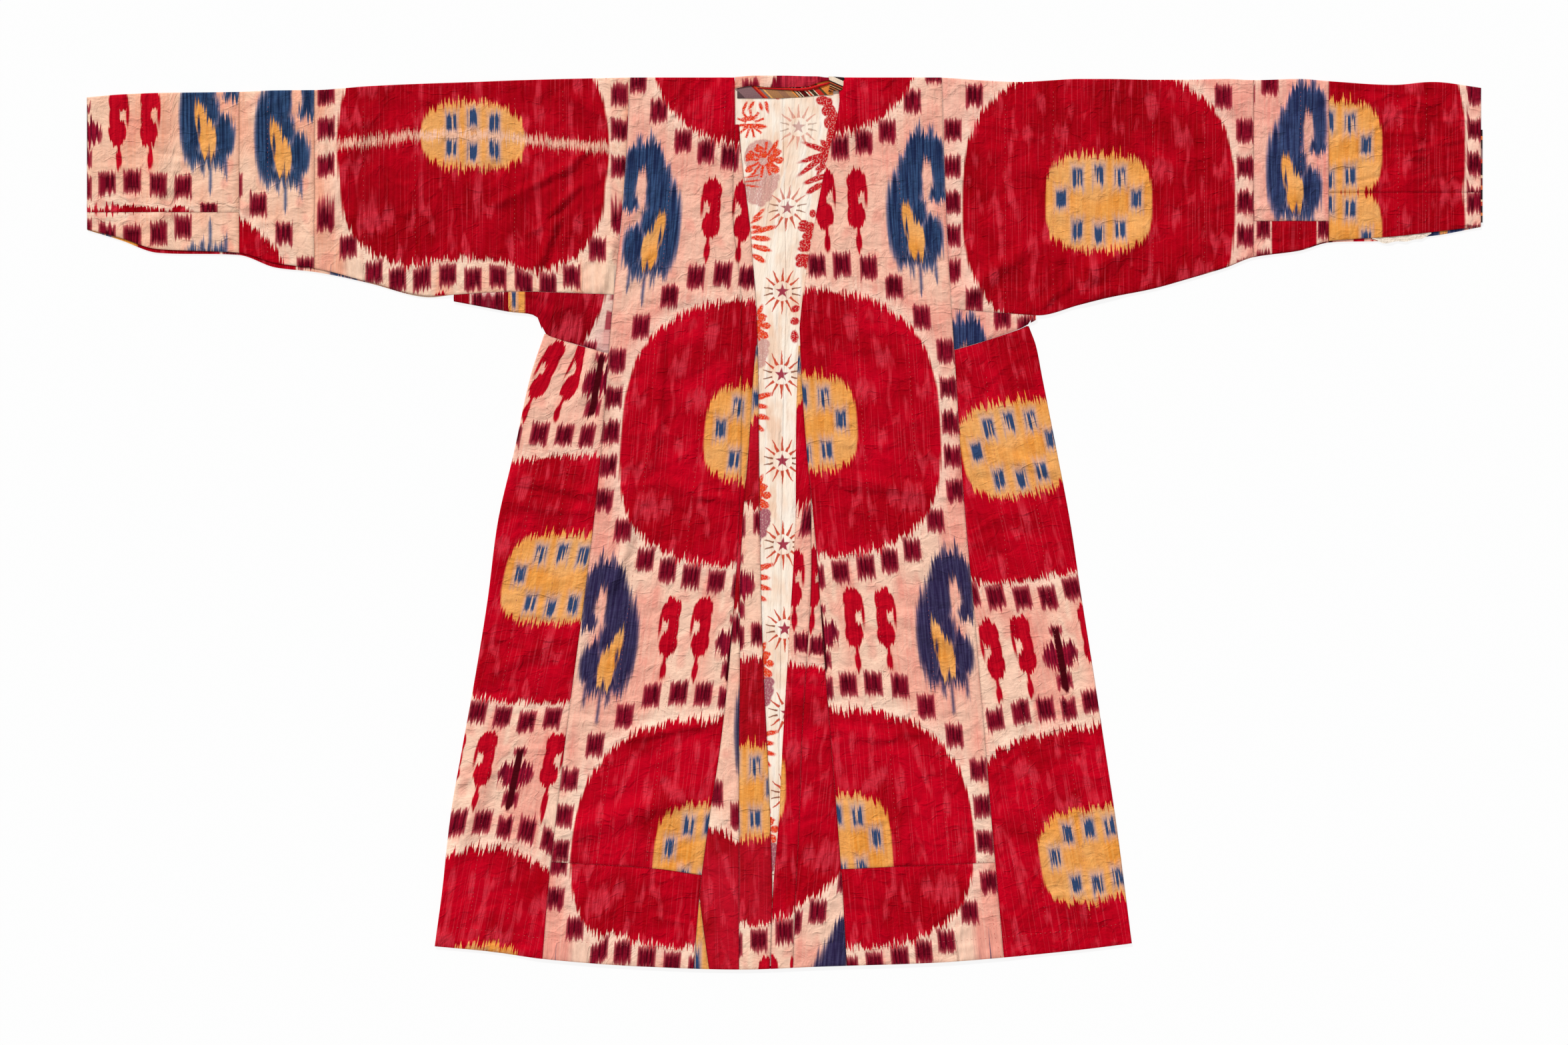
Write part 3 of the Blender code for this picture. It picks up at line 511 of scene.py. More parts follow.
def nearest(tree, place, marks, square=False, running=None):
    """Distance in millimetres to the edge of the nearest mark, below nought inside it. running
    is such a distance to other marks."""
    for m in marks:
        wide, high = m.wide / 2, m.high / 2
        if square:
            apart = node(tree, "VectorMath", {0: place, 1: (m.u, m.v, 0)}, operation="SUBTRACT")
            apart = node(tree, "VectorMath", {0: apart}, operation="ABSOLUTE")
            apart = node(tree, "VectorMath", {
                0: apart, 1: (1, WARP_SOFT, 0), 2: (-wide, -high * WARP_SOFT, 0)},
                operation="MULTIPLY_ADD")
            parts = node(tree, "SeparateXYZ", {0: apart})
            gap = node(tree, "Math", {0: parts.outputs[0], 1: parts.outputs[1]},
                       operation="MAXIMUM")
        else:
            if m.turn:
                apart = node(tree, "Mapping", {
                    "Vector": place, "Location": (m.u, m.v, 0),
                    "Rotation": (0, 0, math.radians(m.turn)), "Scale": (wide, high, 1)},
                    vector_type="TEXTURE")
            else:
                apart = node(tree, "VectorMath", {
                    0: place, 1: (1 / wide, 1 / high, 0), 2: (-m.u / wide, -m.v / high, 0)},
                    operation="MULTIPLY_ADD")
            reach = node(tree, "VectorMath", {0: apart}, operation="LENGTH")
            least = min(wide, high)
            gap = node(tree, "Math", {0: reach.outputs["Value"], 1: least, 2: -least},
                       operation="MULTIPLY_ADD")
        running = gap if running is None else node(
            tree, "Math", {0: running, 1: gap}, operation="MINIMUM")
    return running


def rounded(tree, place, wide, high, power):
    """Distance in millimetres to a disc between round and square, by its half sizes."""
    scaled = node(tree, "VectorMath", {0: place, 1: (1 / wide, 1 / high, 0)}, operation="MULTIPLY")
    scaled = node(tree, "VectorMath", {0: scaled}, operation="ABSOLUTE")
    parts = node(tree, "SeparateXYZ", {0: scaled})
    raise_u = node(tree, "Math", {0: parts.outputs[0], 1: power}, operation="POWER")
    raise_v = node(tree, "Math", {0: parts.outputs[1], 1: power}, operation="POWER")
    total = node(tree, "Math", {0: raise_u, 1: raise_v}, operation="ADD")
    root = node(tree, "Math", {0: total, 1: 1 / power}, operation="POWER")
    return node(tree, "Math", {0: root, 1: high, 2: -high}, operation="MULTIPLY_ADD")


def inside(tree, gap, soft=1.0, most=1.0):
    """most inside a distance's edge and 0 outside it, across a soft border in millimetres."""
    return node(tree, "MapRange", {"Value": gap, "From Min": soft, "From Max": -soft,
                                   "To Max": most}, interpolation_type="SMOOTHSTEP")


def share(tree, value, low=0.0, high=1.0, to_low=0.0, to_high=1.0):
    """A value's place between two others, held to the ends."""
    return node(tree, "MapRange", {"Value": value, "From Min": low, "From Max": high,
                                   "To Min": to_low, "To Max": to_high})


def paint(tree, ground, colour, mask):
    """Lays a colour over a ground where the mask is 1."""
    return node(tree, "Mix", {0: mask, 6: ground, 7: colour}, data_type="RGBA").outputs[2]


def shaded(tree, colour, shade):
    """A colour times a shade near 1."""
    return node(tree, "Mix", {0: 1.0, 6: colour, 7: shade}, data_type="RGBA",
                blend_type="MULTIPLY").outputs[2]


def in_millimetres(tree, layer):
    """One of the two maps that every piece of cloth carries."""
    place = node(tree, "UVMap", uv_map=layer)
    return node(tree, "VectorMath", {0: place, "Scale": 1000.0}, operation="SCALE")


def stretched(tree, place, across_step, along_step, seed, detail=0.0, rough=0.5):
    """Noise whose grain is across_step by along_step millimetres."""
    way = node(tree, "VectorMath", {
        0: place, 1: (1 / across_step, 1 / along_step, 0), 2: (seed, seed * 0.7, 0)},
        operation="MULTIPLY_ADD")
    return node(tree, "TexNoise", {"Vector": way, "Scale": 1.0, "Detail": detail,
                                   "Roughness": rough}, noise_dimensions="2D").outputs[0]


ikat = bpy.data.node_groups.new("Ikat", "ShaderNodeTree")
for socket in ("Ground", "Ground deep", "Ground pale", "Blue", "Blue light", "Red deep", "Red"):
    ikat.interface.new_socket(name=socket, in_out="INPUT", socket_type="NodeSocketColor")
ikat.interface.new_socket(name="Bluer above", in_out="INPUT", socket_type="NodeSocketFloat")
ikat.interface.new_socket(name="Colour", in_out="OUTPUT", socket_type="NodeSocketColor")
ikat.interface.new_socket(name="Height", in_out="OUTPUT", socket_type="NodeSocketFloat")
lot = node(ikat, "NodeGroupInput")
in_mm = in_millimetres(ikat, "Cloth")
spot = node(ikat, "SeparateXYZ", {0: in_mm})
across, along = spot.outputs[0], spot.outputs[1]
rim_spot = node(ikat, "SeparateXYZ", {0: in_millimetres(ikat, "Rim")})
turn_line_at, seam_at = rim_spot.outputs[0], rim_spot.outputs[1]

# Bundles of warp and single threads, each slipped a little along its length. Large marks show
# the whole slip, small ones half of it, because their knots were tied tighter.
BUNDLE_SLIP, THREAD_SLIP = 24.0, 13.0
bundles = stretched(ikat, in_mm, 2.6, 60.0, 3.1)
threads = stretched(ikat, in_mm, 1.05, 24.0, 11.7)
slip = node(ikat, "Math", {0: threads, 1: THREAD_SLIP,
                           2: -(BUNDLE_SLIP + THREAD_SLIP) / 2}, operation="MULTIPLY_ADD")
slip = node(ikat, "Math", {0: bundles, 1: BUNDLE_SLIP, 2: slip}, operation="MULTIPLY_ADD")
half = node(ikat, "Math", {0: across}, operation="ABSOLUTE")
half_slipped = node(ikat, "Math", {0: slip, 1: 0.5, 2: along}, operation="MULTIPLY_ADD")
slipped = node(ikat, "Math", {0: slip, 1: along}, operation="ADD")
places = []
for run_of_warp in (slipped, half_slipped):
    for low, high in ((-REPEAT / 2, REPEAT / 2), (0.0, float(REPEAT))):
        wrapped = node(ikat, "Math", {0: run_of_warp, 1: high, 2: low}, operation="WRAP")
        places.append(node(ikat, "CombineXYZ", {0: half, 1: wrapped}))
disc_place, field_place, small_disc_place, small_field_place = places

cloud = node(ikat, "TexNoise", {"Vector": in_mm, "Scale": 0.012, "Detail": 2.0},
             noise_dimensions="2D").outputs[0]
zones = stretched(ikat, in_mm, 52.0, 210.0, 33.0, 1.0)
streaks = stretched(ikat, in_mm, 4.2, 80.0, 5.0, 3.0, 0.68)
cloudy = share(ikat, cloud, 0.36, 0.62)
streaky = share(ikat, streaks, 0.34, 0.66)
bundled = share(ikat, bundles, 0.3, 0.7)
threaded = share(ikat, threads, 0.3, 0.7)

# Ground: pink in some stretches of the warp and cream in others, streaked, and palest beside
# the discs, where the knots kept every dye out
disc_gap = rounded(ikat, disc_place, 185.0, 181.0, 2.75)
heart_gap = rounded(ikat, disc_place, 72.0, 65.0, 3.3)
ground = paint(ikat, lot.outputs["Ground"], lot.outputs["Ground deep"], cloudy)
pale_most = share(ikat, along, -280.0, 240.0, 0.9, 0.45)
pale_mask = node(ikat, "Math", {0: share(ikat, zones, 0.42, 0.56), 1: pale_most},
                 operation="MULTIPLY")
ground = paint(ikat, ground, lot.outputs["Ground pale"], pale_mask)
ground = paint(ikat, ground, srgb("FBD3BA"), share(ikat, streaky, to_high=0.3))
ground = paint(ikat, ground, srgb("FFDFC8"), share(ikat, disc_gap, 24.0, 2.0, 0.0, 0.6))
smudge = stretched(ikat, in_mm, 26.0, 34.0, 40.0, 1.0)
ground = paint(ikat, ground, srgb("EC8A7A"), share(ikat, smudge, 0.58, 0.74, 0.0, 0.4))


def run_dye(ground, gap, edge, body, run, edge_soft=1.0, edge_most=0.9, body_soft=1.7):
    """A mark whose dye ran: its ragged border in one colour, and its body in another."""
    ground = paint(ikat, ground, edge, inside(ikat, gap, edge_soft, edge_most))
    core = node(ikat, "Math", {0: gap, 1: run}, operation="ADD")
    return paint(ikat, ground, body, inside(ikat, core, body_soft))


# Maroon squares, redder at their ragged ends
DYE_RUN = 2.2
run_red = srgb("A51A38")
ring_gap = nearest(ikat, small_disc_place, RING, True)
maroon = paint(ikat, srgb("560616"), srgb("94102A"), bundled)
maroon = paint(ikat, maroon, srgb("36020E"), share(ikat, threaded, to_high=0.4))
colour = run_dye(ground, ring_gap, run_red, maroon, DYE_RUN)

# Red drops and the cross
red = paint(ikat, srgb("A80018"), srgb("C80A22"), streaky)
colour = paint(ikat, colour, red, inside(ikat, nearest(ikat, small_field_place, DROPS)))
arms_gap = nearest(ikat, small_field_place, CROSS_FOOT, True,
                   nearest(ikat, field_place, CROSS_ARMS))
cross_red = paint(ikat, srgb("6A0A22"), srgb("A01430"), bundled)
colour = run_dye(colour, arms_gap, run_red, cross_red, DYE_RUN)
colour = paint(ikat, colour, srgb("48060F"),
               inside(ikat, nearest(ikat, small_field_place, CROSS_BAR, True)))

# Paisley, with a paler blue along its ragged border
PALE_RUN = 2.6
high_up = node(ikat, "Math", {0: share(ikat, along, 100.0, 250.0),
                              1: lot.outputs["Bluer above"]}, operation="MULTIPLY")
deep_blue = paint(ikat, lot.outputs["Blue"], srgb("1B2E52"), high_up)
light_blue = paint(ikat, lot.outputs["Blue light"], srgb("3C5E88"), high_up)
blue = paint(ikat, deep_blue, light_blue, share(ikat, bundled, to_high=0.75))
blue = paint(ikat, blue, srgb("1E1732"), share(ikat, threaded, to_high=0.4))
paisley_gap = nearest(ikat, field_place, PAISLEY_BARS, True, nearest(ikat, field_place, PAISLEY))
colour = run_dye(colour, paisley_gap, light_blue, blue, PALE_RUN, 2.2, 0.85, 2.4)
colour = paint(ikat, colour, ground, inside(ikat, nearest(ikat, field_place, PAISLEY_GAP), 2.0))
ochre = paint(ikat, srgb("E48C32"), srgb("F0A24C"), streaky)
ochre = paint(ikat, ochre, srgb("F6BC7E"), share(ikat, cloudy, to_high=0.5))
colour = paint(ikat, colour, ochre, inside(ikat, nearest(ikat, field_place, PAISLEY_HEART), 1.4))
colour = paint(ikat, colour, blue, inside(ikat, nearest(ikat, field_place, PAISLEY_FLECK), 1.4))

# Crimson of the disc, with ghosts along the warp where its knots leaked, and paler threads
crimson = paint(ikat, lot.outputs["Red deep"], lot.outputs["Red"], cloudy)
crimson = paint(ikat, crimson, srgb("CA0A26"), share(ikat, streaky, to_high=0.32))
ghost_place = node(ikat, "CombineXYZ", {0: across, 1: half_slipped})
ghost = stretched(ikat, ghost_place, 16.0, 48.0, 8.0, 1.0)
ghost_mask = node(ikat, "Math", {0: share(ikat, ghost, 0.58, 0.71, 0.0, 0.62), 1: share(
    ikat, threads, 0.28, 0.5, 0.25, 1.0)}, operation="MULTIPLY")
crimson = paint(ikat, crimson, srgb("E03A4C"), ghost_mask)
pale_thread = stretched(ikat, in_mm, 1.5, 90.0, 21.0)
crimson = paint(ikat, crimson, srgb("DE4456"), share(ikat, pale_thread, 0.66, 0.8, 0.0, 0.26))
colour = paint(ikat, colour, crimson, inside(ikat, disc_gap, 1.5))

# Ochre heart, with blue flecks that bled up and down the warp
colour = paint(ikat, colour, ochre, inside(ikat, heart_gap, 1.5))
fleck_gap = nearest(ikat, small_disc_place, HEART_FLECK, True)
halo = paint(ikat, srgb("D8AC98"), srgb("9C96AC"), bundled)
colour = paint(ikat, colour, halo, inside(ikat, fleck_gap, 4.5, 0.8))
fleck_core = node(ikat, "Math", {0: fleck_gap, 1: DYE_RUN}, operation="ADD")
fleck_mask = node(ikat, "Math", {0: inside(ikat, fleck_core, 1.6), 1: share(
    ikat, bundles, 0.32, 0.42)}, operation="MULTIPLY")
colour = paint(ikat, colour, srgb("33486E"), fleck_mask)

# Where the tied warp turned back, the dye missed a band as ragged as the rest
TURN_SLIP, TURN_WIDE, TURN_BARE = 12.0, 22.0, -6.2
turn_at = node(ikat, "Math", {0: bundles, 1: TURN_SLIP, 2: turn_line_at}, operation="MULTIPLY_ADD")
turn_at = node(ikat, "Math", {0: turn_at, 1: TURN_SLIP / 2}, operation="SUBTRACT")
turn_at = node(ikat, "Math", {0: turn_at}, operation="ABSOLUTE")
turn_wide = node(ikat, "Math", {0: threads, 1: TURN_WIDE, 2: TURN_BARE}, operation="MULTIPLY_ADD")
turn_gap = node(ikat, "Math", {0: turn_at, 1: turn_wide}, operation="SUBTRACT")
colour = paint(ikat, colour, srgb("F5C1A6"), inside(ikat, turn_gap, 1.8, 0.85))

# The weft's ribs shade every colour, and painted shade darkens the cloth in its seams. A rib is 0.5
# mm wide, and drawn at 2.4 mm so that it shows.
rib = node(ikat, "VectorMath", {0: in_mm, 1: (0.12, 0.42, 0.0)}, operation="MULTIPLY")
rib = node(ikat, "TexNoise", {"Vector": rib, "Scale": 1.0, "Detail": 3.0,
                              "Roughness": 0.75}, noise_dimensions="2D")
# Painted shade: the colour darkens to 0.74 of itself at each seam's edge
seam_shade = share(ikat, seam_at, 0.0, 2.4, 0.74, 1.0)
ribbed = share(ikat, rib.outputs[0], 0.25, 0.75, 0.84, 1.1)
colour = shaded(ikat, colour, node(ikat, "Math", {0: ribbed, 1: seam_shade}, operation="MULTIPLY"))

# Relief: soft crumple, and crisp thin creases that follow the contour lines of a broader noise
CRUMPLE, CREASE_HIGH, CREASE_HALF, RIB_HIGH = 3.0, 0.6, 0.034, 0.16
crumple = node(ikat, "TexNoise", {"Vector": in_mm, "Scale": 0.05, "Detail": 3.0,
                                  "Roughness": 0.55, "Distortion": 0.6},
               noise_dimensions="2D")
contour = stretched(ikat, in_mm, 62.0, 30.0, 60.0, 2.0)
from_contour = node(ikat, "Math", {0: contour, 1: 0.5}, operation="SUBTRACT")
from_contour = node(ikat, "Math", {0: from_contour}, operation="ABSOLUTE")
crisp = node(ikat, "Math", {0: share(ikat, from_contour, CREASE_HALF, 0.0), 1: share(
    ikat, smudge, 0.45, 0.6, 0.0, CREASE_HIGH)}, operation="MULTIPLY")
height_mm = node(ikat, "Math", {0: crumple.outputs[0], 1: CRUMPLE, 2: crisp},
                 operation="MULTIPLY_ADD")
height_mm = node(ikat, "Math", {0: rib.outputs[0], 1: RIB_HIGH, 2: height_mm},
                 operation="MULTIPLY_ADD")
node(ikat, "NodeGroupOutput", {"Colour": colour, "Height": height_mm})


def new_finish(name, roughness, gloss):
    """Material of a cloth: its nodes, and its shader with how dull it is."""
    finish = bpy.data.materials.new(name)
    finish.use_nodes = True
    shader = finish.node_tree.nodes["Principled BSDF"]
    shader.inputs["Roughness"].default_value = roughness
    shader.inputs["Specular IOR Level"].default_value = gloss
    return finish, finish.node_tree, shader


def dress(tree, shader, colour, relief=None, deep=0.0):
    """Colours a shader, and raises its relief, where it has one, by deep metres."""
    tree.links.new(colour, shader.inputs["Base Color"])
    if relief:
        bump = node(tree, "Bump", {"Height": relief, "Distance": deep})
        tree.links.new(bump.outputs[0], shader.inputs["Normal"])


def ikat_cloth(name, ground, ground_deep, ground_pale, blue, blue_light, red_deep, red, bluer=0.0):
    """Ikat of one dye lot. Silk on cotton has a low, broad sheen and no sharp gloss."""
    finish, tree, shader = new_finish(name, 0.72, 0.02)
    pattern = node(tree, "Group", node_tree=ikat)
    for socket, code in (("Ground", ground), ("Ground deep", ground_deep),
                         ("Ground pale", ground_pale), ("Blue", blue), ("Blue light", blue_light),
                         ("Red deep", red_deep), ("Red", red)):
        pattern.inputs[socket].default_value = srgb(code)
    pattern.inputs["Bluer above"].default_value = bluer
    dress(tree, shader, pattern.outputs["Colour"], pattern.outputs["Height"], MM)
    shader.inputs["Sheen Weight"].default_value = 0.004
    shader.inputs["Sheen Roughness"].default_value = 0.4
    return finish


body_ikat = ikat_cloth("ikat_rose_and_violet", "F6AE98", "EC9584", "F9CFB5", "2E2448", "4A4568",
                       "A2000F", "C2001C", 0.85)
peach_ikat = ikat_cloth("ikat_peach_and_blue", "F8BC9E", "F0A486", "F8D6BA", "1C3050", "3E5C84",
                        "900008", "AE0014")
pink_ikat = ikat_cloth("ikat_pink_and_blue", "F4A694", "EB8E80", "F8C6B0", "242C52", "445680",
                       "920008", "B00014")
dusty_ikat = ikat_cloth("ikat_dusty", "D8A09E", "CE9496", "E0ACA6", "1F3354", "41628A",
                        "7E0008", "A00014")
pale_ikat = ikat_cloth("ikat_pale", "FAC6AC", "F4AE98", "F8D2B6", "2E2848", "5A5570",
                       "9C0812", "BA1024")


# Body widths: one length of ikat each, from the join low on the front, over the shoulder without
# a seam and down to the back hem, quilted to the lining. They meet in the centre-back seam.
def finish_piece(piece, cloth, nodes, flat, share_of=None):
    """Gives a piece its cloth, hangs it from the root and hides the parts that it stands for.
    Its cut is only turned into metres, and share_of is not used.
    """
    piece.data.materials.clear()
    piece.data.materials.append(cloth)
    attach(piece, "root")
    if nodes:
        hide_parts(*nodes)
    size = tuple(s * MM for s in flat)


TURN_FAR = 400          # no turning line on this piece
STEP = 3.2              # size of a face of cloth
EASY = 9                # rim of a point that no seam is near
FREE = (TURN_FAR, EASY)
FOLD_RUN = 6            # a face ends this far below its fold
PANEL_WIDE = 190
BACK_HIGH, BACK_LOW, BACK_STEP = 540, -570, 60          # rows of the hidden back


def body_lay(side, centre):
    """Cloth coordinates of a point (out, y) on a body width: its selvedge is the side seam."""
    seam = side_seam[side.name]
    return lambda out, y: (out - seam(y) + LOOM, y - centre)


BARE_BELOW, BARE_BESIDE, SQUEEZE = -153, 148, 0.12


def bare(u, v):
    """Low on a length the field is cut before its next paisleys, so none show in its corners."""
    if abs(u) > BARE_BESIDE and v < BARE_BELOW:
        v = BARE_BELOW + SQUEEZE * (v - BARE_BELOW)
    return u, v


def body_width(side, centre):
    """From the join up the front, over the shoulder's fold and down the back to the hem."""
    join = join_seam[side.name]
    seam, edge, slant = side_seam[side.name], front_edge[side.name], panel_seam[side.name]
    apex = BAND_APEX if side.name == "right" else NECK_APEX
    neck = edge(SHOULDER)
    read = body_lay(side, centre)

    def near_line(y):
        return max(edge(y), slant(y)) if y < apex else edge(y)

    down = [NECK_CUT - HALF, *range(BACK_HIGH, BACK_LOW, -BACK_STEP)]
    seam_hem = meeting(seam, lambda out: hem(side.sign * out))[0]
    sections = []
    rises = stations(SHOULDER - FOLD_RUN - WALL - join(LOOM - 10), STEP)
    for share_out in stations(PANEL_WIDE, STEP):
        section = []
        for rise in rises:
            y = blend(join(LOOM - 10), SHOULDER - FOLD_RUN, rise)
            for _ in range(4):
                near, far = near_line(y) + HALF, seam(y) - HALF
                out = blend(far, near, share_out)
                y = blend(join(out) + HALF, SHOULDER - FOLD_RUN, rise)
            rim = max(min(out - near, far - out, y - join(out)), 0)
            x = side.sign * out
            section.append((*face_point(x, y, rim), read(out, y), (TURN_FAR, rim)))
        out = blend(seam(SHOULDER) - HALF, neck + HALF, share_out)
        x = side.sign * out
        rim = max(min(seam(SHOULDER) - out, out - neck), 0)
        u, v = read(out, SHOULDER)
        for outer, inner in fold_points(x, SHOULDER, (0, -1), under(x, SHOULDER)):
            section.append((outer, inner, (u, v + 6.0 - outer[2]), (TURN_FAR, rim)))
        for y in down:
            out = blend(seam(y) - HALF, neck + HALF, share_out)
            v = read(out, 2 * SHOULDER - y)[1]
            section.append((*back_point(side.sign * out, y), (out - seam(y) + LOOM, v), FREE))
        out = blend(seam_hem - HALF, neck + HALF, share_out)
        y = hem(side.sign * out)
        section.append((*back_point(side.sign * out, y),
                        (out - seam(y) + LOOM, 2 * SHOULDER - y - centre), FREE))
        sections.append(section)
    before = len(sections[0]) - len(down) - 1
    for share_out in (0.25, 0.5, 0.75, 1.0):
        x = side.sign * blend(neck + HALF, HALF, share_out)
        section = [None] * before
        for y in down + [hem(x)]:
            section.append((*back_point(x, y),
                            (abs(x) - seam(y) + LOOM, 2 * SHOULDER - y - centre), FREE))
        sections.append(section)
    return wall(f"robe_body_{side.name}", sections)


for side, centre in ((left, CENTRE_LEFT), (right, CENTRE_RIGHT)):
    finish_piece(body_width(side, centre), body_ikat, [f"body_width_{side.name}"],
                 (330, 2270), 0.70)

# Lower fronts. Each panel is lengthened by a piece of another repeat, joined across the warp
# with no care for the pattern, and runs to the hem.
Lay = namedtuple("Lay", "y axis warp")


def lay_reader(rows, tilt=0.0, sign=1):
    """Cloth coordinates of a point (out, y), from rows that give the loom's middle by height."""
    axis, warp = curve(rows, "y", "axis"), curve(rows, "y", "warp")

    def read(out, y):
        level = y - (out - axis(y)) * tilt
        slope = math.sqrt(1 + tilt * tilt)
        beyond = level - min(max(level, rows[-1].y), rows[0].y)
        return sign * (out - axis(level)) * slope, warp(level) + beyond

    return read


MID_PANEL = 60          # where a piece of the front is measured for its rows


def strip_piece(name, side, inner, outer, low, high, read):
    """Flat piece of a front between two seams. low None ends it on the hem."""
    floor = (lambda out: low) if low is not None else (lambda out: hem(side.sign * out))
    ceiling = high if callable(high) else (lambda out: high)
    reach = max(outer(y) - inner(y) for y in range(-600, 600, 20)
                if floor(MID_PANEL) - 20 < y < ceiling(MID_PANEL) + 20)
    sections = []
    rises = stations(ceiling(MID_PANEL) - floor(MID_PANEL), STEP)
    for share_out in stations(max(reach, 8), STEP):
        section = []
        for rise in rises:
            y = blend(floor(MID_PANEL), ceiling(MID_PANEL), rise)
            for _ in range(4):
                near, far = inner(y) + HALF, outer(y) - HALF
                out = blend(near, far, share_out)
                y = blend(floor(out), ceiling(out) - HALF, rise)
            rim = max(min(out - near, far - out, y - floor(out), ceiling(out) - y), 0)
            x = side.sign * out
            section.append((*face_point(x, y, rim), read(out, y), (TURN_FAR, rim)))
        sections.append(section)
    return wall(name, sections)


CORNER_DROP = 22


def lower_lay(side):
    """The left piece's corner squares sit lower than the rest of its ring."""
    read = body_lay(side, LOWER_CENTRE)
    drop = CORNER_DROP if side is left else 0

    def place(out, y):
        u, v = read(out, y)
        return bare(u, v + drop * ease((u - 105) / 45))

    return place


for side in SIDES:
    piece = strip_piece(f"robe_front_{side.name}_lower", side, panel_seam[side.name],
                        side_seam[side.name], None, join_seam[side.name], lower_lay(side))
    finish_piece(piece, body_ikat, [f"front_{side.name}_lower"], (222, 150), 0.87)

# Bands and gores that widen the fronts. They are cut from offcuts, so their ikat is shifted,
# and the left band's and gore's seams lean. An ochre godet is let into the hem on the left.
BAND_TOP, RIGHT_BAND_END, GODET_TOP = 240, 30, -510
Edge = namedtuple("Edge", "y out")
GODET_EDGE = (Edge(GODET_TOP, 114.5), Edge(-560, 108), Edge(-610, 101))
godet_edge = curve(GODET_EDGE, "y", "out")


def strip_edge(y):
    """Seam of the left strip on the opening's side: the edge, and below it the band."""
    return front_edge["left"](y) if y > BAND_TOP + HALF else band_seam["left"](y)


def gore_edge(y):
    """Outer seam of the left gore, which ends on the godet."""
    return panel_seam["left"](y) if y > GODET_TOP else godet_edge(y)


def right_band_edge(y):
    """Outer seam of the right band: the panel, and below it the gore."""
    return panel_seam["right"](y) if y > RIGHT_BAND_END else band_seam["right"](y)


Strip = namedtuple("Strip", "node side near far low high read cloth flat share")
STRIPS = (
    Strip("front_left_strip", left, strip_edge, panel_seam["left"], -30, 540,
          body_lay(left, CENTRE_LEFT - 3), body_ikat, (22, 570), 0.69),
    Strip("front_left_band", left, front_edge["left"], band_seam["left"], None, BAND_TOP,
          lay_reader((Lay(260, 64, 625), Lay(-170, 64, 195), Lay(-300, 68, 65),
                      Lay(-610, 68, -245)), 0.0, -1), pale_ikat, (46, 848), 0.67),
    Strip("front_left_gore", left, band_seam["left"], gore_edge, None, -30,
          lay_reader((Lay(0, 194, -53), Lay(-155, 197, -182), Lay(-400, 195, -386),
                      Lay(-610, 190, -596)), 0.0, -1), pale_ikat, (58, 580), 0.5),
    Strip("front_right_band", right, front_edge["right"], right_band_edge, None, BAND_TOP,
          lay_reader((Lay(250, -30, 610), Lay(100, -50, 460), Lay(60, -56, 424), Lay(30, -62, 402),
                      Lay(-5, -68, 378), Lay(-50, -76, 330), Lay(-165, -76, 209),
                      Lay(-195, -72, 169), Lay(-610, -68, -250))), body_ikat, (54, 848), 0.45),
    Strip("front_right_gore", right, band_seam["right"], panel_seam["right"], None, 18,
          lay_reader((Lay(0, -45, 378), Lay(-100, -50, 279), Lay(-172, -55, 206),
                      Lay(-197, -57, 166), Lay(-570, -92, -214),
                      Lay(-620, -96, -264))), body_ikat, (76, 580), 0.54),
    Strip("hem_godet", left, godet_edge, panel_seam["left"], None, -515,
          lay_reader((Lay(-500, 150, 25), Lay(-610, 150, -45))), pale_ikat, (24, 85), 0.62),
)
for strip in STRIPS:
    piece = strip_piece(f"robe_{strip.node}", strip.side, strip.near, strip.far, strip.low,
                        strip.high, strip.read)
    finish_piece(piece, strip.cloth, [strip.node], strip.flat, strip.share)

# Side gores: one long tapering piece of the body's ikat on each side, folded round the side from
# the underarm to the hem. Their warp leans outwards, and the left one is gathered at its top.
GORE_WIDE = 150
GORES = {
    "left": (Edge(257, 325), Edge(200, 344), Edge(100, 366), Edge(0, 389), Edge(-100, 402),
             Edge(-200, 418), Edge(-300, 436), Edge(-400, 453), Edge(-500, 464), Edge(-575, 474)),
    "right": (Edge(267, 332), Edge(240, 342), Edge(200, 350), Edge(100, 370), Edge(0, 389),
              Edge(-100, 404), Edge(-200, 420), Edge(-300, 435), Edge(-400, 450), Edge(-571, 472)),
}
GORE_TOPS = {
    "left": (Across(236, 229), Across(262, 236), Across(300, 247), Across(326, 256.5)),
    "right": (Across(230, 234), Across(262, 243), Across(297, 254.5), Across(333, 267)),
}
GORE_LAYS = {
    "left": (Lay(260, 240, 352), Lay(92, 272, 180), Lay(-76, 308, 0), Lay(-246, 344, -182),
             Lay(-438, 384, -386), Lay(-572, 410, -504), Lay(-640, 424, -572)),
    "right": (Lay(300, 272, 205), Lay(100, 313, 0), Lay(-70, 351, -176), Lay(-170, 373, -276),
              Lay(-250, 386, -357), Lay(-450, 419, -568), Lay(-640, 450, -762)),
}


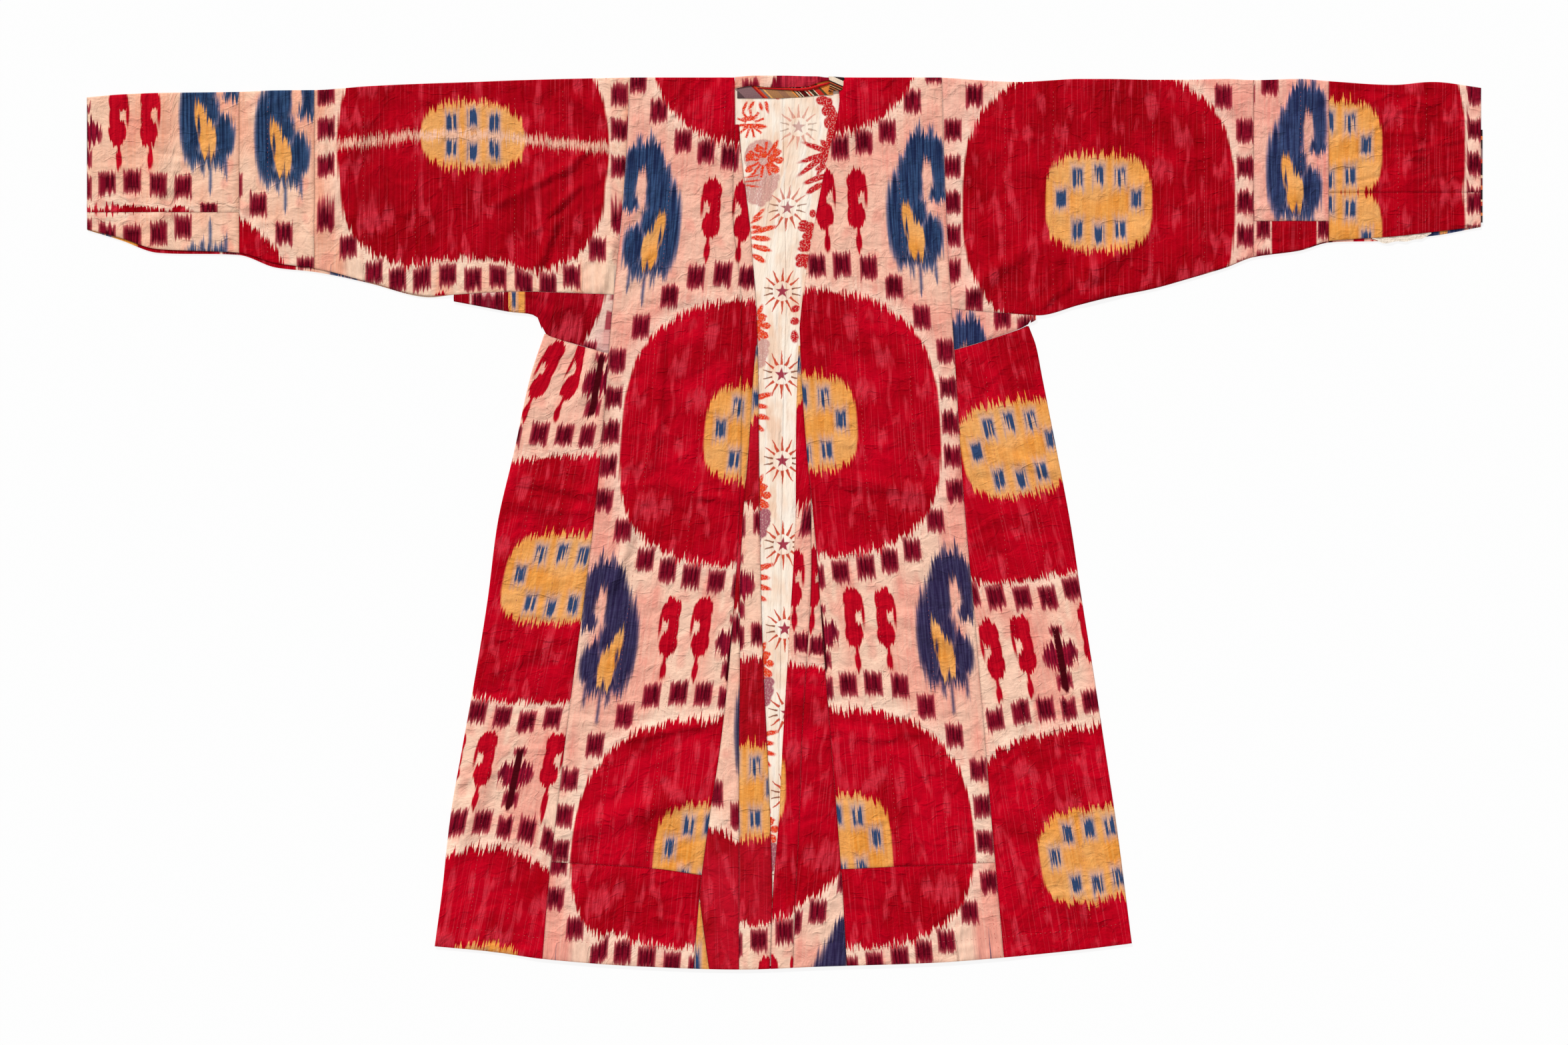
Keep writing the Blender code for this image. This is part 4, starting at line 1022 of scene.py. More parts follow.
def side_gore(side):
    """One gore: its front half, the fold down the side, and its back half."""
    seam = side_seam[side.name]
    rows = GORES[side.name]
    edge = curve(rows, "y", "out")
    top = curve(GORE_TOPS[side.name], "out", "y")
    tall = rows[0].y - rows[-1].y
    flat = lay_reader(GORE_LAYS[side.name], 0.17 if side is right else 0.02)

    def read(out, y):
        """The left gore is gathered under the gusset, and its ring is arched by the hem."""
        u, v = flat(out, y)
        if side is right:
            return u, v
        gather = ease((out - 258) / 30)
        arch = 25 * ((out - 405) / 83) ** 2 * ease((-370 - y) / 50)
        return u + 0.3 * max(y - 150, 0) * gather, v + 7 * gather * ease((y - 60) / 60) + arch

    def level(rise, out):
        return blend(hem(side.sign * out), top(out) - HALF, rise)

    sections = []
    for rise in stations(tall, STEP):
        row = blend(rows[-1].y, rows[0].y, rise)
        meet = seam(row)
        for _ in range(6):
            meet = seam(level(rise, meet))
        far = edge(row)
        radius = (under(side.sign * far, row) + WALL) / 2
        ends = min(rise, 1 - rise) * tall
        section = []
        for share_out in stations(GORE_WIDE, STEP):
            out = blend(meet + HALF, far - radius - 4, share_out)
            y = level(rise, out)
            rim = min(out - meet, ends)
            section.append((*face_point(side.sign * out, y, rim), read(out, y), (TURN_FAR, rim)))
        y = level(rise, far)
        for k, (outer, inner) in enumerate(fold_points(side.sign * far, y, (-side.sign, 0),
                                                       under(side.sign * far, y))):
            cloth = read(abs(outer[0]) if k < 4 else 2 * far - abs(outer[0]), y)
            section.append((outer, inner, cloth, (TURN_FAR, min(ends, EASY))))
        for share_out in (0.0, 0.34, 0.67, 1.0):
            out = blend(far - radius - 12, meet + HALF, share_out)
            y = level(rise, out)
            section.append((*back_point(side.sign * out, y), read(2 * far - out, y), FREE))
        sections.append(section)
    return wall(f"robe_side_gore_{side.name}", sections)


for side in SIDES:
    finish_piece(side_gore(side), body_ikat, [f"side_gore_{side.name}"], (310, 880), 0.72)

# Sleeves. A whole loom width runs round the arm next to the body, then a narrower length and
# the cuff. The warp runs round the arm, and the sleeve is folded along its top. The left upper
# length is cut where the tied warp turned back, so its pattern mirrors above that line.
Sleeve = namedtuple("Sleeve", "out top under drop")
SLEEVES = {
    "left": (
        Sleeve(205, 604, 308, 0), Sleeve(300, 602, 312, 0), Sleeve(355, 600.5, 313.5, 0),
        Sleeve(420, 598, 311, 0), Sleeve(448, 597, 309, 0), Sleeve(480, 596, 307.5, 2),
        Sleeve(560, 592.5, 325.5, 1.5), Sleeve(637, 587, 345, 5), Sleeve(690, 586.5, 352, 6),
        Sleeve(740, 584.5, 366, 3), Sleeve(850, 583, 371, 5), Sleeve(900, 581, 386, 3),
        Sleeve(946, 577, 398, 1),
    ),
    "right": (
        Sleeve(210, 604, 291, 0), Sleeve(322, 598, 282.5, 0), Sleeve(345, 599, 281, 0),
        Sleeve(400, 602, 296, 1), Sleeve(440, 602, 306, 1), Sleeve(500, 601, 318, 1),
        Sleeve(550, 601, 332, 1), Sleeve(600, 602, 347, 1), Sleeve(637, 600.5, 361, 1),
        Sleeve(700, 602, 370, 1), Sleeve(740, 599, 382, 2), Sleeve(827, 594, 388, 5),
        Sleeve(880, 598, 394, 5), Sleeve(946, 590, 402, 1),
    ),
}
sleeve_top, sleeve_under, sleeve_drop = [
    {name: curve(rows, "out", field) for name, rows in SLEEVES.items()}
    for field in ("top", "under", "drop")]
MID_SLEEVE, SLEEVE_HIGH = 450.0, 240
MIDDLE_SEAM, CUFF_SEAM, CUFF_END = 637, 739, 945.5
CUFF_STRIP_LEFT, MIDDLE_PATCH_RIGHT, CUFF_STRIP_RIGHT = 421, 409, 448
TURN_MEAN = 517
TURN_LINE = (Across(220, 507), Across(240, 509), Across(300, 514), Across(350, 519),
             Across(420, 526), Across(500, 525), Across(560, 518), Across(637, 507))
turn_line = curve(TURN_LINE, "out", "y")


def sleeve_piece(name, side, near, far, read, start=None, turns=False):
    """Length of sleeve folded at its top. near and far give the seams' distance out by height."""
    top, low, drop = sleeve_top[side.name], sleeve_under[side.name], sleeve_drop[side.name]

    def place(share_out, rise, floor, ceiling):
        y = MID_SLEEVE
        for _ in range(6):
            out = blend(near(y), far(y), share_out)
            y = blend(floor(out), ceiling(out), rise)
        return out, y

    def floor(out):
        return (start or low(out)) + HALF

    wide = far(MID_SLEEVE) - near(MID_SLEEVE)
    sections = []
    for share_out in stations(wide, STEP):
        section = []
        for rise in stations(SLEEVE_HIGH, STEP):
            out, y = place(share_out, rise, floor, lambda o: top(o) - FOLD_RUN - WALL)
            rim = max(min(min(share_out, 1 - share_out) * wide, y - floor(out)), 0)
            line = (y - turn_line(out)) if turns else TURN_FAR
            section.append((*face_point(side.sign * out, y, rim), read(out, y), (line, rim)))
        out, y = place(share_out, 1.0, low, top)
        x = side.sign * out
        rim = min(share_out, 1 - share_out) * wide
        for k, (outer, inner) in enumerate(fold_points(x, y, (0, -1), under(x, y))):
            beyond = outer[1] if k < 4 else 2 * y - outer[1]
            section.append((outer, inner, read(out, beyond), (TURN_FAR, rim)))
        for fall in (1.0, 0.8, 0.6, 0.4, 0.2, 0.0):
            out, y_back = place(share_out, fall, lambda o: low(o) - drop(o) + HALF,
                                lambda o: top(o) - 12)
            section.append((*back_point(side.sign * out, y_back),
                            read(out, 2 * top(out) - y_back), FREE))
        sections.append(section)
    return wall(name, sections)


def turned(axis, centre):
    """Lay of a sleeve whose warp pattern turns back above the line."""

    def read(out, y):
        line = turn_line(out)
        u, v = out - axis, (2 * line - y if y > line else y) - centre - (line - TURN_MEAN)
        if y > line:
            return u, v
        return bare(u, v + (8 + 19 * ease((abs(u) - 30) / 70)) * ease((-60 - v) / 60))

    return read


def straight(axis, centre):
    """Lay of a piece whose warp runs straight up from the loom's middle and a disc's."""
    return lambda out, y: (out - axis, y - centre)


def left_cuff(out, y):
    """Its outer bundles had slipped up the warp, and it is stretched along the let-in strip."""
    u, v = out - 949, y - 247
    return u, v - 25 * ease((-u - 116) / 10) - 12 * ease((436 - y) / 12) * ease((-u - 20) / 50)


def right_cuff(out, y):
    """Its last bundles had slipped down the warp."""
    return out - 739, y - 507 + 22 * ease((out - 924) / 6)


SLEEVE_LAYS = {
    ("left", "upper"): turned(422, 537), ("right", "upper"): straight(427, 434),
    ("left", "middle"): straight(847, 247), ("right", "middle"): straight(525, 200),
    ("left", "cuff"): left_cuff, ("right", "cuff"): right_cuff,
}
SLEEVE_CLOTH = {"left": peach_ikat, "right": pink_ikat}
SLEEVE_FLAT = {"upper": (420, 640), "middle": (103, 500), "cuff": (207, 430)}
for side in SIDES:
    armhole = side_seam[side.name]
    spans = {
        "upper": (lambda y: armhole(y) + HALF, lambda y: MIDDLE_SEAM - HALF, None),
        "middle": (lambda y: MIDDLE_SEAM + HALF, lambda y: CUFF_SEAM - HALF,
                   MIDDLE_PATCH_RIGHT if side is right else None),
        "cuff": (lambda y: CUFF_SEAM + HALF, lambda y: CUFF_END,
                 CUFF_STRIP_RIGHT if side is right else CUFF_STRIP_LEFT),
    }
    for part, (near, far, start) in spans.items():
        piece = sleeve_piece(f"robe_sleeve_{side.name}_{part}", side, near, far,
                             SLEEVE_LAYS[side.name, part], start, side is left and part == "upper")
        finish_piece(piece, SLEEVE_CLOTH[side.name], [f"sleeve_{side.name}_{part}"],
                     SLEEVE_FLAT[part], 0.8)

# Strips let in along the lower edge of both cuffs and of the right middle length, cut from other
# ends of the same cloth. A reading gives where they, or a gusset, lie across the loom.
Reading = namedtuple("Reading", "out across")
PATCH_READING = (Reading(637, 216), Reading(650, 199), Reading(662, 184), Reading(690, 150),
                 Reading(722, 184), Reading(731, 199), Reading(739, 207))
patch_across = curve(PATCH_READING, "out", "across")
Let = namedtuple("Let", "node side near far top read")
LET_IN = (
    Let("sleeve_left_cuff_strip", left, CUFF_SEAM, CUFF_END, CUFF_STRIP_LEFT,
        lambda out, y: (out - 949, 603 - y - 18 * ease((833 - out) / 10))),
    Let("sleeve_right_cuff_strip", right, CUFF_SEAM, CUFF_END, CUFF_STRIP_RIGHT,
        lambda out, y: (out - 739, 389 - y)),
    Let("sleeve_right_middle_patch", right, MIDDLE_SEAM, CUFF_SEAM, MIDDLE_PATCH_RIGHT,
        lambda out, y: (patch_across(out), y - 400)),
)
for let in LET_IN:
    low = sleeve_under[let.side.name]
    wide = let.far - let.near
    sections = []
    for share_out in stations(wide, STEP):
        out = blend(let.near + HALF, let.far - HALF, share_out)
        section = []
        for rise in stations(40, STEP):
            y = blend(low(out) + HALF, let.top - HALF, rise)
            rim = max(min(y - low(out), let.top - y, min(share_out, 1 - share_out) * wide), 0)
            section.append((*face_point(let.side.sign * out, y, rim), let.read(out, y),
                            (TURN_FAR, rim)))
        sections.append(section)
    finish_piece(wall(f"robe_{let.node}", sections), SLEEVE_CLOTH[let.side.name],
                 [let.node], (wide, 60), 0.75)

# Underarm gussets: squares of duller ikat folded corner to corner, with the fold at the armpit,
# sewn between sleeve, body and side gore
Gusset = namedtuple("Gusset", "out lower folded")
GUSSETS = {
    "left": (
        Gusset(236, 229, False), Gusset(262, 236, False), Gusset(300, 247, False),
        Gusset(326, 256.5, True), Gusset(333, 277, True), Gusset(345, 283, True),
        Gusset(370, 285.5, True), Gusset(400, 291, True), Gusset(448, 300, True),
    ),
    "right": (
        Gusset(230, 234, False), Gusset(262, 243, False), Gusset(297, 254.5, False),
        Gusset(322, 263.8, False), Gusset(334, 270.5, True), Gusset(342, 275, True),
    ),
}
GUSSET_COLUMNS, GUSSET_HIGH, MOST_FOLD = 32, 50, 0.42
# The left gusset is pieced, and its cloth runs on a slant
GUSSET_READING = (Reading(236, 188), Reading(350, 74), Reading(372, 52), Reading(380, 188),
                  Reading(402, 209), Reading(423, 188), Reading(448, 165))
gusset_across = curve(GUSSET_READING, "out", "across")


def gusset(side, read):
    """One gusset: its upper half, the fold where it has one, and its lower half under it."""
    rows = GUSSETS[side.name]
    lower = curve(rows, "out", "lower")
    upper, seam = sleeve_under[side.name], side_seam[side.name]
    tip, start = rows[-1].out, rows[0].out
    folded_from = next(row.out for row in rows if row.folded)

    def point(share_out, rise, gap=HALF):
        y = 270.0           # anywhere near: a few rounds settle it
        for _ in range(6):
            out = blend(seam(y) + HALF, tip, share_out)
            y = blend(lower(out) + gap, upper(out) - HALF, rise)
        return out, y

    sections = []
    for share_out in [k / GUSSET_COLUMNS for k in range(GUSSET_COLUMNS + 1)]:
        out, y = point(share_out, 0.0, 0.0)
        folded = blend(start, tip, share_out) >= folded_from
        low = under(side.sign * out, y)
        fold_rise = 0.0
        fold = [None] * len(FOLD)
        if folded:
            radius = (low + WALL) / 2
            fold_rise = min(MOST_FOLD, (radius + 2.0) / (upper(out) - lower(out)))
            fold = [(outer, inner, read(out, outer[1]), FREE)
                    for outer, inner in fold_points(side.sign * out, y, (0, 1), low)]
        section = []
        for up in stations(GUSSET_HIGH, STEP):
            spot_out, spot_y = point(share_out, blend(1.0, fold_rise, up))
            rim = max(min(upper(spot_out) - spot_y, spot_out - seam(spot_y)), 0)
            if not folded:
                rim = min(rim, max(spot_y - lower(spot_out), 0))
            section.append((*face_point(side.sign * spot_out, spot_y, rim), read(spot_out, spot_y),
                            (TURN_FAR, rim)))
        section += fold
        for up in (0.0, 0.5, 1.0):
            spot_out, spot_y = point(share_out, blend(fold_rise, 1.0, up))
            section.append((*back_point(side.sign * spot_out, spot_y),
                            read(spot_out, 2 * y - spot_y), FREE))
        sections.append(section)
    return wall(f"robe_gusset_{side.name}", sections)


piece = gusset(left, lambda out, y: (gusset_across(out + 0.15 * (y - 309) * ease((350 - out) / 40)),
                                     y - blend(363, 297, ease((out - 300) / 50))))
finish_piece(piece, dusty_ikat, ["gusset_left"], (215, 160), 0.6)
piece = gusset(right, lambda out, y: (430 - out, y + 117))
finish_piece(piece, pink_ikat, ["gusset_right"], (115, 110), 0.6)

# Lining of the back: plain cotton, block printed with rayed stars in a column and sprays of
# petals beside them, sewn of two widths down the centre. It shows only between the fronts.
Centre = namedtuple("Centre", "y x")
LINING_SEAM = (Centre(590, -2), Centre(420, 1), Centre(300, 3), Centre(200, 0), Centre(0, -3),
               Centre(-200, -5), Centre(-400, -8), Centre(-610, -10))
lining_seam = curve(LINING_SEAM, "y", "x")
Star = namedtuple("Star", "x y v")
STAR_STEP, STAR_AT = 113.5, 85.0
STARS = (Star(21, 605, 608), Star(21, 538, 539), Star(6, 428, 425.5), Star(-1, 315, 312),
         Star(-2, 202, 198.5), Star(-1, 85, 85), Star(0, -28, -28), Star(0.8, -85, -82),
         Star(2, -142, -141), Star(5.5, -257, -255.5), Star(8.5, -368, -369), Star(13, -600, -599))
star_x, star_v = curve(STARS, "y", "x"), curve(STARS, "y", "v")
LINING_TOP = WALL + SEAM + LINING
# Sprays of the left column by their height over its foot, which repeats every other star:
# petals, then the bars of a fan, and the lilac leaf and flower under them
FOOT, SPRAY_STEP, SPRAY_HIGH = 45.0, 227, 76.0
PETALS = (Mark(-30, 14, 6, 17, -22), Mark(-27, 4, 11, 12), Mark(-32, -4, 12, 12),
          Mark(-21.5, -7, 12, 10), Mark(-25, -20, 14, 10, -18), Mark(-33, -13, 9, 12),
          Mark(-51, 9, 14, 9), Mark(-44, 1, 12, 10), Mark(-62, -1, 12, 10),
          Mark(-60, -20, 10, 9), Mark(-54, -29, 22, 2.6, 12), Mark(-53, -36, 22, 2.6, 8),
          Mark(-52, -43, 20, 2.6, -6), Mark(-67, 52, 22, 7, 8), Mark(-65, 41, 22, 7, 4),
          Mark(-50, 40, 14, 6, 4))
FAN = (Mark(-38, -82, 20, 5.5, 45), Mark(-41, -90, 18, 4.5, 30), Mark(-40, -100, 14, 5),
       Mark(-30, -103, 36, 7.5, 15), Mark(-33, -115, 28, 7.5, -5), Mark(-32, -128, 30, 8, -14),
       Mark(-34, -142, 22, 8, -28), Mark(-73, 68, 4.5, 18, -20), Mark(-64, 70, 4.5, 15, -30),
       Mark(-51, 69, 5, 12, 20), Mark(-43, 68, 5, 18, 12))
LILACS = (Mark(-42, -44, 44, 50), Mark(-26, -42, 18, 22), Mark(-24, -32, 16, 14),
          Mark(-30, -58, 16, 14), Mark(-36, -66, 12, 12), Mark(-48, 0, 44, 46))
RIGHT_PETALS = (Mark(33, 576, 14, 10), Mark(39, 573, 12, 12), Mark(41, 562, 16, 14),
                Mark(47, 545, 13, 30), Mark(40, 545, 8, 12), Mark(35, 418, 6, 7),
                Mark(24, 404, 9, 7), Mark(26, 398, 14, 8), Mark(33, 398, 12, 13),
                Mark(31, 387, 12, 9), Mark(25, 377, 8, 8), Mark(28, 370, 13, 6),
                Mark(31, 375, 7, 14), Mark(25, 357, 14, 10), Mark(24, 350, 10, 8),
                Mark(32, 352, 8, 15), Mark(18, 288, 8, 6, 20), Mark(17.5, 271, 9, 7),
                Mark(17.5, 250, 7, 12))
RIGHT_FAN = (Mark(43, 524, 6, 20), Mark(39.5, 513, 14, 5, -40), Mark(30, 509, 28, 4.5, -20),
             Mark(30.5, 498, 32, 5, 20), Mark(29.5, 490, 38, 6, 43), Mark(39.5, 492, 5, 30, -15),
             Mark(37, 482, 10, 6, 20), Mark(33, 466, 21, 5.5, 22), Mark(33.5, 453, 17, 6, 35))

lining_cloth, tree, shader = new_finish("printed_lining", 0.9, 0.12)
place = in_millimetres(tree, "Cloth")
wobble = node(tree, "TexNoise", {"Vector": place, "Scale": 0.12, "Detail": 2.0},
              noise_dimensions="2D")
place = node(tree, "VectorMath", {0: wobble.outputs["Color"], 1: (2.6, 2.6, 0),
                                  2: place}, operation="MULTIPLY_ADD")
spot = node(tree, "SeparateXYZ", {0: place})
aside, height = spot.outputs[0], spot.outputs[1]
soft = node(tree, "TexNoise", {"Vector": place, "Scale": 0.02, "Detail": 3.0},
            noise_dimensions="2D").outputs[0]
base = paint(tree, srgb("FFECD8"), srgb("F4CEB2"), share(tree, soft, 0.42, 0.68))
# Painted highlight: paler streaks along the length stand in for light on the lining's soft ripples
ripple_highlight = stretched(tree, place, 9.0, 70.0, 2.0, 1.0)
base = paint(tree, base, srgb("FFF5E8"), share(tree, ripple_highlight, 0.45, 0.7, 0.0, 0.7))
print_wear = stretched(tree, place, 2.2, 2.2, 9.0, 2.0)
wear = share(tree, print_wear, 0.3, 0.5, 0.55, 1.0)


def printed(ground, colour, gap, soft_mm=0.9, most=1.0):
    """Block print over a ground, thin where the block did not press."""
    mask = node(tree, "Math", {0: inside(tree, gap, soft_mm, most), 1: wear}, operation="MULTIPLY")
    return paint(tree, ground, srgb(colour), mask)


star_wrap = node(tree, "Math", {0: height, 1: STAR_AT + STAR_STEP / 2,
                                2: STAR_AT - STAR_STEP / 2}, operation="WRAP")
star_high = node(tree, "Math", {0: star_wrap, 1: STAR_AT}, operation="SUBTRACT")
star_place = node(tree, "CombineXYZ", {0: aside, 1: star_high})
star_reach = node(tree, "VectorMath", {0: star_place}, operation="LENGTH").outputs["Value"]
bearing = node(tree, "Math", {0: aside, 1: star_high}, operation="ARCTAN2")
# Five-pointed star: the distance to the nearest of its straight sides
POINT, POINT_SIDE, POINT_IN = math.pi / 5, 1.237, 3.3
tip = node(tree, "Math", {0: bearing, 1: POINT, 2: -POINT}, operation="WRAP")
tip = node(tree, "Math", {0: tip}, operation="ABSOLUTE")
tip = node(tree, "Math", {0: tip, 1: POINT_SIDE}, operation="SUBTRACT")
tip = node(tree, "Math", {0: tip}, operation="COSINE")
star_gap = node(tree, "Math", {0: star_reach, 1: tip}, operation="MULTIPLY")
star_gap = node(tree, "Math", {0: star_gap, 1: POINT_IN}, operation="SUBTRACT")
# Fourteen rays, longer and thicker up and down
RAY, RAY_START = math.pi / 14, 13.2
ray = node(tree, "Math", {0: bearing, 1: RAY, 2: -RAY}, operation="WRAP")
ray = node(tree, "Math", {0: ray}, operation="SINE")
ray = node(tree, "Math", {0: ray}, operation="ABSOLUTE")
ray_aside = node(tree, "Math", {0: ray, 1: star_reach}, operation="MULTIPLY")
upright = node(tree, "Math", {0: bearing}, operation="COSINE")
upright = node(tree, "Math", {0: upright}, operation="ABSOLUTE")
ray_end = node(tree, "Math", {0: upright, 1: 8.0, 2: 24.0}, operation="MULTIPLY_ADD")
ray_past = node(tree, "Math", {0: star_reach, 1: ray_end}, operation="SUBTRACT")
ray_before = node(tree, "Math", {0: RAY_START, 1: star_reach}, operation="SUBTRACT")
ray_ends = node(tree, "Math", {0: ray_past, 1: ray_before}, operation="MAXIMUM")
ray_half = node(tree, "Math", {0: upright, 1: 1.2, 2: 1.05}, operation="MULTIPLY_ADD")
ray_thin = share(tree, star_reach, 13.0, 32.0, 1.0, 0.15)
ray_half = node(tree, "Math", {0: ray_half, 1: ray_thin}, operation="MULTIPLY")
ray_gap = node(tree, "Math", {0: ray_aside, 1: ray_half}, operation="SUBTRACT")
ray_gap = node(tree, "Math", {0: ray_gap, 1: ray_ends}, operation="MAXIMUM")

spray_wrap = node(tree, "Math", {0: height, 1: FOOT + SPRAY_HIGH,
                                 2: FOOT + SPRAY_HIGH - SPRAY_STEP}, operation="WRAP")
spray_high = node(tree, "Math", {0: spray_wrap, 1: FOOT}, operation="SUBTRACT")
spray_place = node(tree, "CombineXYZ", {0: aside, 1: spray_high})
lilac_gap = nearest(tree, spray_place, LILACS)
base = printed(base, "CC9088", lilac_gap, 1.4, 0.85)
unfaded = share(tree, height, 170.0, 30.0, 0.0, 0.8)
base = printed(base, "9C3E5A", lilac_gap, 1.2, unfaded)
spray_gap = nearest(tree, spray_place, PETALS + FAN)
# Two flowers of narrow petals round a bare heart
Flower = namedtuple("Flower", "u v petals heart reach half")
for flower in (Flower(-42, -6, 12, 7, 25, 1.9), Flower(-65, 44, 11, 6, 20, 1.7)):
    from_heart = node(tree, "VectorMath", {0: spray_place, 1: (flower.u, flower.v, 0)},
                      operation="SUBTRACT")
    reach = node(tree, "VectorMath", {0: from_heart}, operation="LENGTH").outputs["Value"]
    parts = node(tree, "SeparateXYZ", {0: from_heart})
    turn = node(tree, "Math", {0: parts.outputs[0], 1: parts.outputs[1]}, operation="ARCTAN2")
    apart = math.pi / flower.petals
    turn = node(tree, "Math", {0: turn, 1: apart, 2: -apart}, operation="WRAP")
    turn = node(tree, "Math", {0: turn}, operation="ABSOLUTE")
    beside = node(tree, "Math", {0: turn, 1: reach}, operation="MULTIPLY")
    beside = node(tree, "Math", {0: beside, 1: flower.half}, operation="SUBTRACT")
    past = node(tree, "Math", {0: reach, 1: flower.reach}, operation="SUBTRACT")
    before = node(tree, "Math", {0: flower.heart, 1: reach}, operation="SUBTRACT")
    ends = node(tree, "Math", {0: past, 1: before}, operation="MAXIMUM")
    petal_gap = node(tree, "Math", {0: beside, 1: ends}, operation="MAXIMUM")
    spray_gap = node(tree, "Math", {0: spray_gap, 1: petal_gap}, operation="MINIMUM")
base = printed(base, "E4320C", spray_gap)
spray_core = node(tree, "Math", {0: spray_gap, 1: 2.4}, operation="ADD")
base = printed(base, "F07038", spray_core, 1.2, 0.35)
right_gap = nearest(tree, place, RIGHT_PETALS + RIGHT_FAN)
right_edge = node(tree, "Math", {0: right_gap, 1: 2.0}, operation="SUBTRACT")
base = printed(base, "B8606C", right_edge, 0.8, 0.2)
right_full = node(tree, "Math", {0: right_gap, 1: 1.5}, operation="SUBTRACT")
base = printed(base, "C40A16", right_full)
faded = share(tree, height, 480.0, 400.0, 0.55, 1.0)
ray_mask = node(tree, "Math", {0: inside(tree, ray_gap, 0.6, 0.95), 1: faded}, operation="MULTIPLY")
ray_colour = paint(tree, srgb("84482E"), srgb("CC3C1A"), share(tree, upright, 0.2, 0.6))
base = paint(tree, base, ray_colour, ray_mask)
star_mask = node(tree, "Math", {0: inside(tree, star_gap, 0.7, 1.0), 1: faded},
                 operation="MULTIPLY")
base = paint(tree, base, srgb("A53A4A"), star_mask)
crumple_lining = stretched(tree, place, 7.0, 46.0, 30.0, 2.0)
dress(tree, shader, base, crumple_lining, 0.0022)


def small_sheet(name, along, rises, point):
    """Sheet that no seam shows on, from a function of the shares along and across it."""
    return wall(name, [[(*point(run, rise), FREE) for rise in rises] for run in along])


LINING_WIDE, LINING_LOW, LINING_HIGH, LINING_STEP = 225, -600, 590, 6.0
LINING_SHOWN = 90       # beyond this the fronts cover it, and it lies flat
LINING_EDGE = 4         # it ends this far inside the robe's seams and hem


def lining_width(side):
    """One width, from the centre seam to the side, uneven only where it shows."""
    seam = side_seam[side.name]

    def point(run, rise):
        y = blend(LINING_LOW, LINING_HIGH, rise)
        x = blend(lining_seam(y) + side.sign * HALF, side.sign * (seam(y) - LINING_EDGE), run)
        y = blend(hem(x) + LINING_EDGE, LINING_HIGH, rise)
        lift = 0
        if abs(x) < LINING_SHOWN:
            lift = min(0.25 * uneven(x, y), 0.2) - 0.35 * (1 - ease(run * LINING_WIDE / 3))
        return (x, y, LINING_TOP + lift), (x, y, LINING_TOP - LINING), (x - star_x(y), star_v(y))

    return small_sheet(f"robe_lining_{side.name}", stations(LINING_WIDE, LINING_STEP),
                       stations(LINING_HIGH - LINING_LOW, LINING_STEP), point)


for side in SIDES:
    finish_piece(lining_width(side), lining_cloth, [f"lining_{side.name}"], (330, 1194),
                 0.84)

# Neck: a facing cut on the bias from striped cloth, the folded ikat band over it, and a twisted
# red roll that has come away from the band's lower edge
NECK_LEFT, NECK_RIGHT = 66.5, 70.5
FACING, BAND = 0.8, 1.2
FACING_TOP = LINING_TOP + SEAM + FACING
NeckLine = namedtuple("NeckLine", "x facing low top")
NECK_LINE = (
    NeckLine(-67, 575.5, 588, 604.5), NeckLine(-60, 575.5, 590, 605),
    NeckLine(-40, 575.5, 592.5, 606.5), NeckLine(-25, 575.5, 590.5, 606.5),
    NeckLine(0, 576, 590, 606.5), NeckLine(20, 577, 590.5, 606), NeckLine(30, 578, 591, 605.7),
    NeckLine(45, 579.3, 596, 605.5), NeckLine(58, 580, 599, 604), NeckLine(71, 580.5, 601, 604.5),
)
facing_low = curve(NECK_LINE, "x", "facing")
neck_low = curve(NECK_LINE, "x", "low")
neck_top = curve(NECK_LINE, "x", "top")
# Stripes by their start along the slanted line, in millimetres
Stripe = namedtuple("Stripe", "start colour")
STRIPES = (
    Stripe(-64, "5E4446"), Stripe(-57, "8A6668"), Stripe(-33, "A01418"), Stripe(-30, "D8401E"),
    Stripe(-26, "8A6E68"), Stripe(-22, "F0B060"), Stripe(-19, "B07A50"), Stripe(-4, "A06E52"),
    Stripe(6, "B88458"), Stripe(14.5, "F09040"), Stripe(17, "1C1412"), Stripe(18.5, "D8B08C"),
    Stripe(21.5, "1C1412"), Stripe(24, "EED8B8"), Stripe(25.2, "5E0A08"), Stripe(31, "1C1412"),
    Stripe(33, "EED8B8"), Stripe(35, "D23A22"), Stripe(38, "EED8B8"), Stripe(40, "4A3520"),
    Stripe(46, "EED8B8"), Stripe(47.5, "D02A1E"), Stripe(55, "5A4526"), Stripe(59, "E88A3C"),
)
LAST_STRIPE = 8


def striped_cloth(name, stripes, slant):
    """Bias cloth: stripes of one colour each, along a line that leans by the slant."""
    finish, tree, shader = new_finish(name, 0.85, 0.15)
    place = in_millimetres(tree, "Cloth")
    along_line = node(tree, "VectorMath", {0: place, 1: (1.0, slant, 0.0)}, operation="DOT_PRODUCT")
    first, last = stripes[0].start, stripes[-1].start + LAST_STRIPE
    value = share(tree, along_line.outputs["Value"], first, last)
    ramp = node(tree, "ValToRGB", {0: value})
    ramp.color_ramp.interpolation = "CONSTANT"
    stops = ramp.color_ramp.elements
    while len(stops) > 1:
        stops.remove(stops[-1])
    for k, stripe in enumerate(stripes):
        stop = stops[0] if k == 0 else stops.new((stripe.start - first) / (last - first))
        stop.position = (stripe.start - first) / (last - first)
        stop.color = srgb(stripe.colour)
    grain = node(tree, "TexNoise", {"Vector": place, "Scale": 0.9, "Detail": 2.0})
    shade = share(tree, grain.outputs[0], 0.3, 0.7, 0.72, 1.12)
    dress(tree, shader, shaded(tree, ramp.outputs[0], shade))
    return finish


facing_cloth = striped_cloth("striped_facing", STRIPES, 1.0)
STRIPES_FROM = 580      # height that the stripes are read from


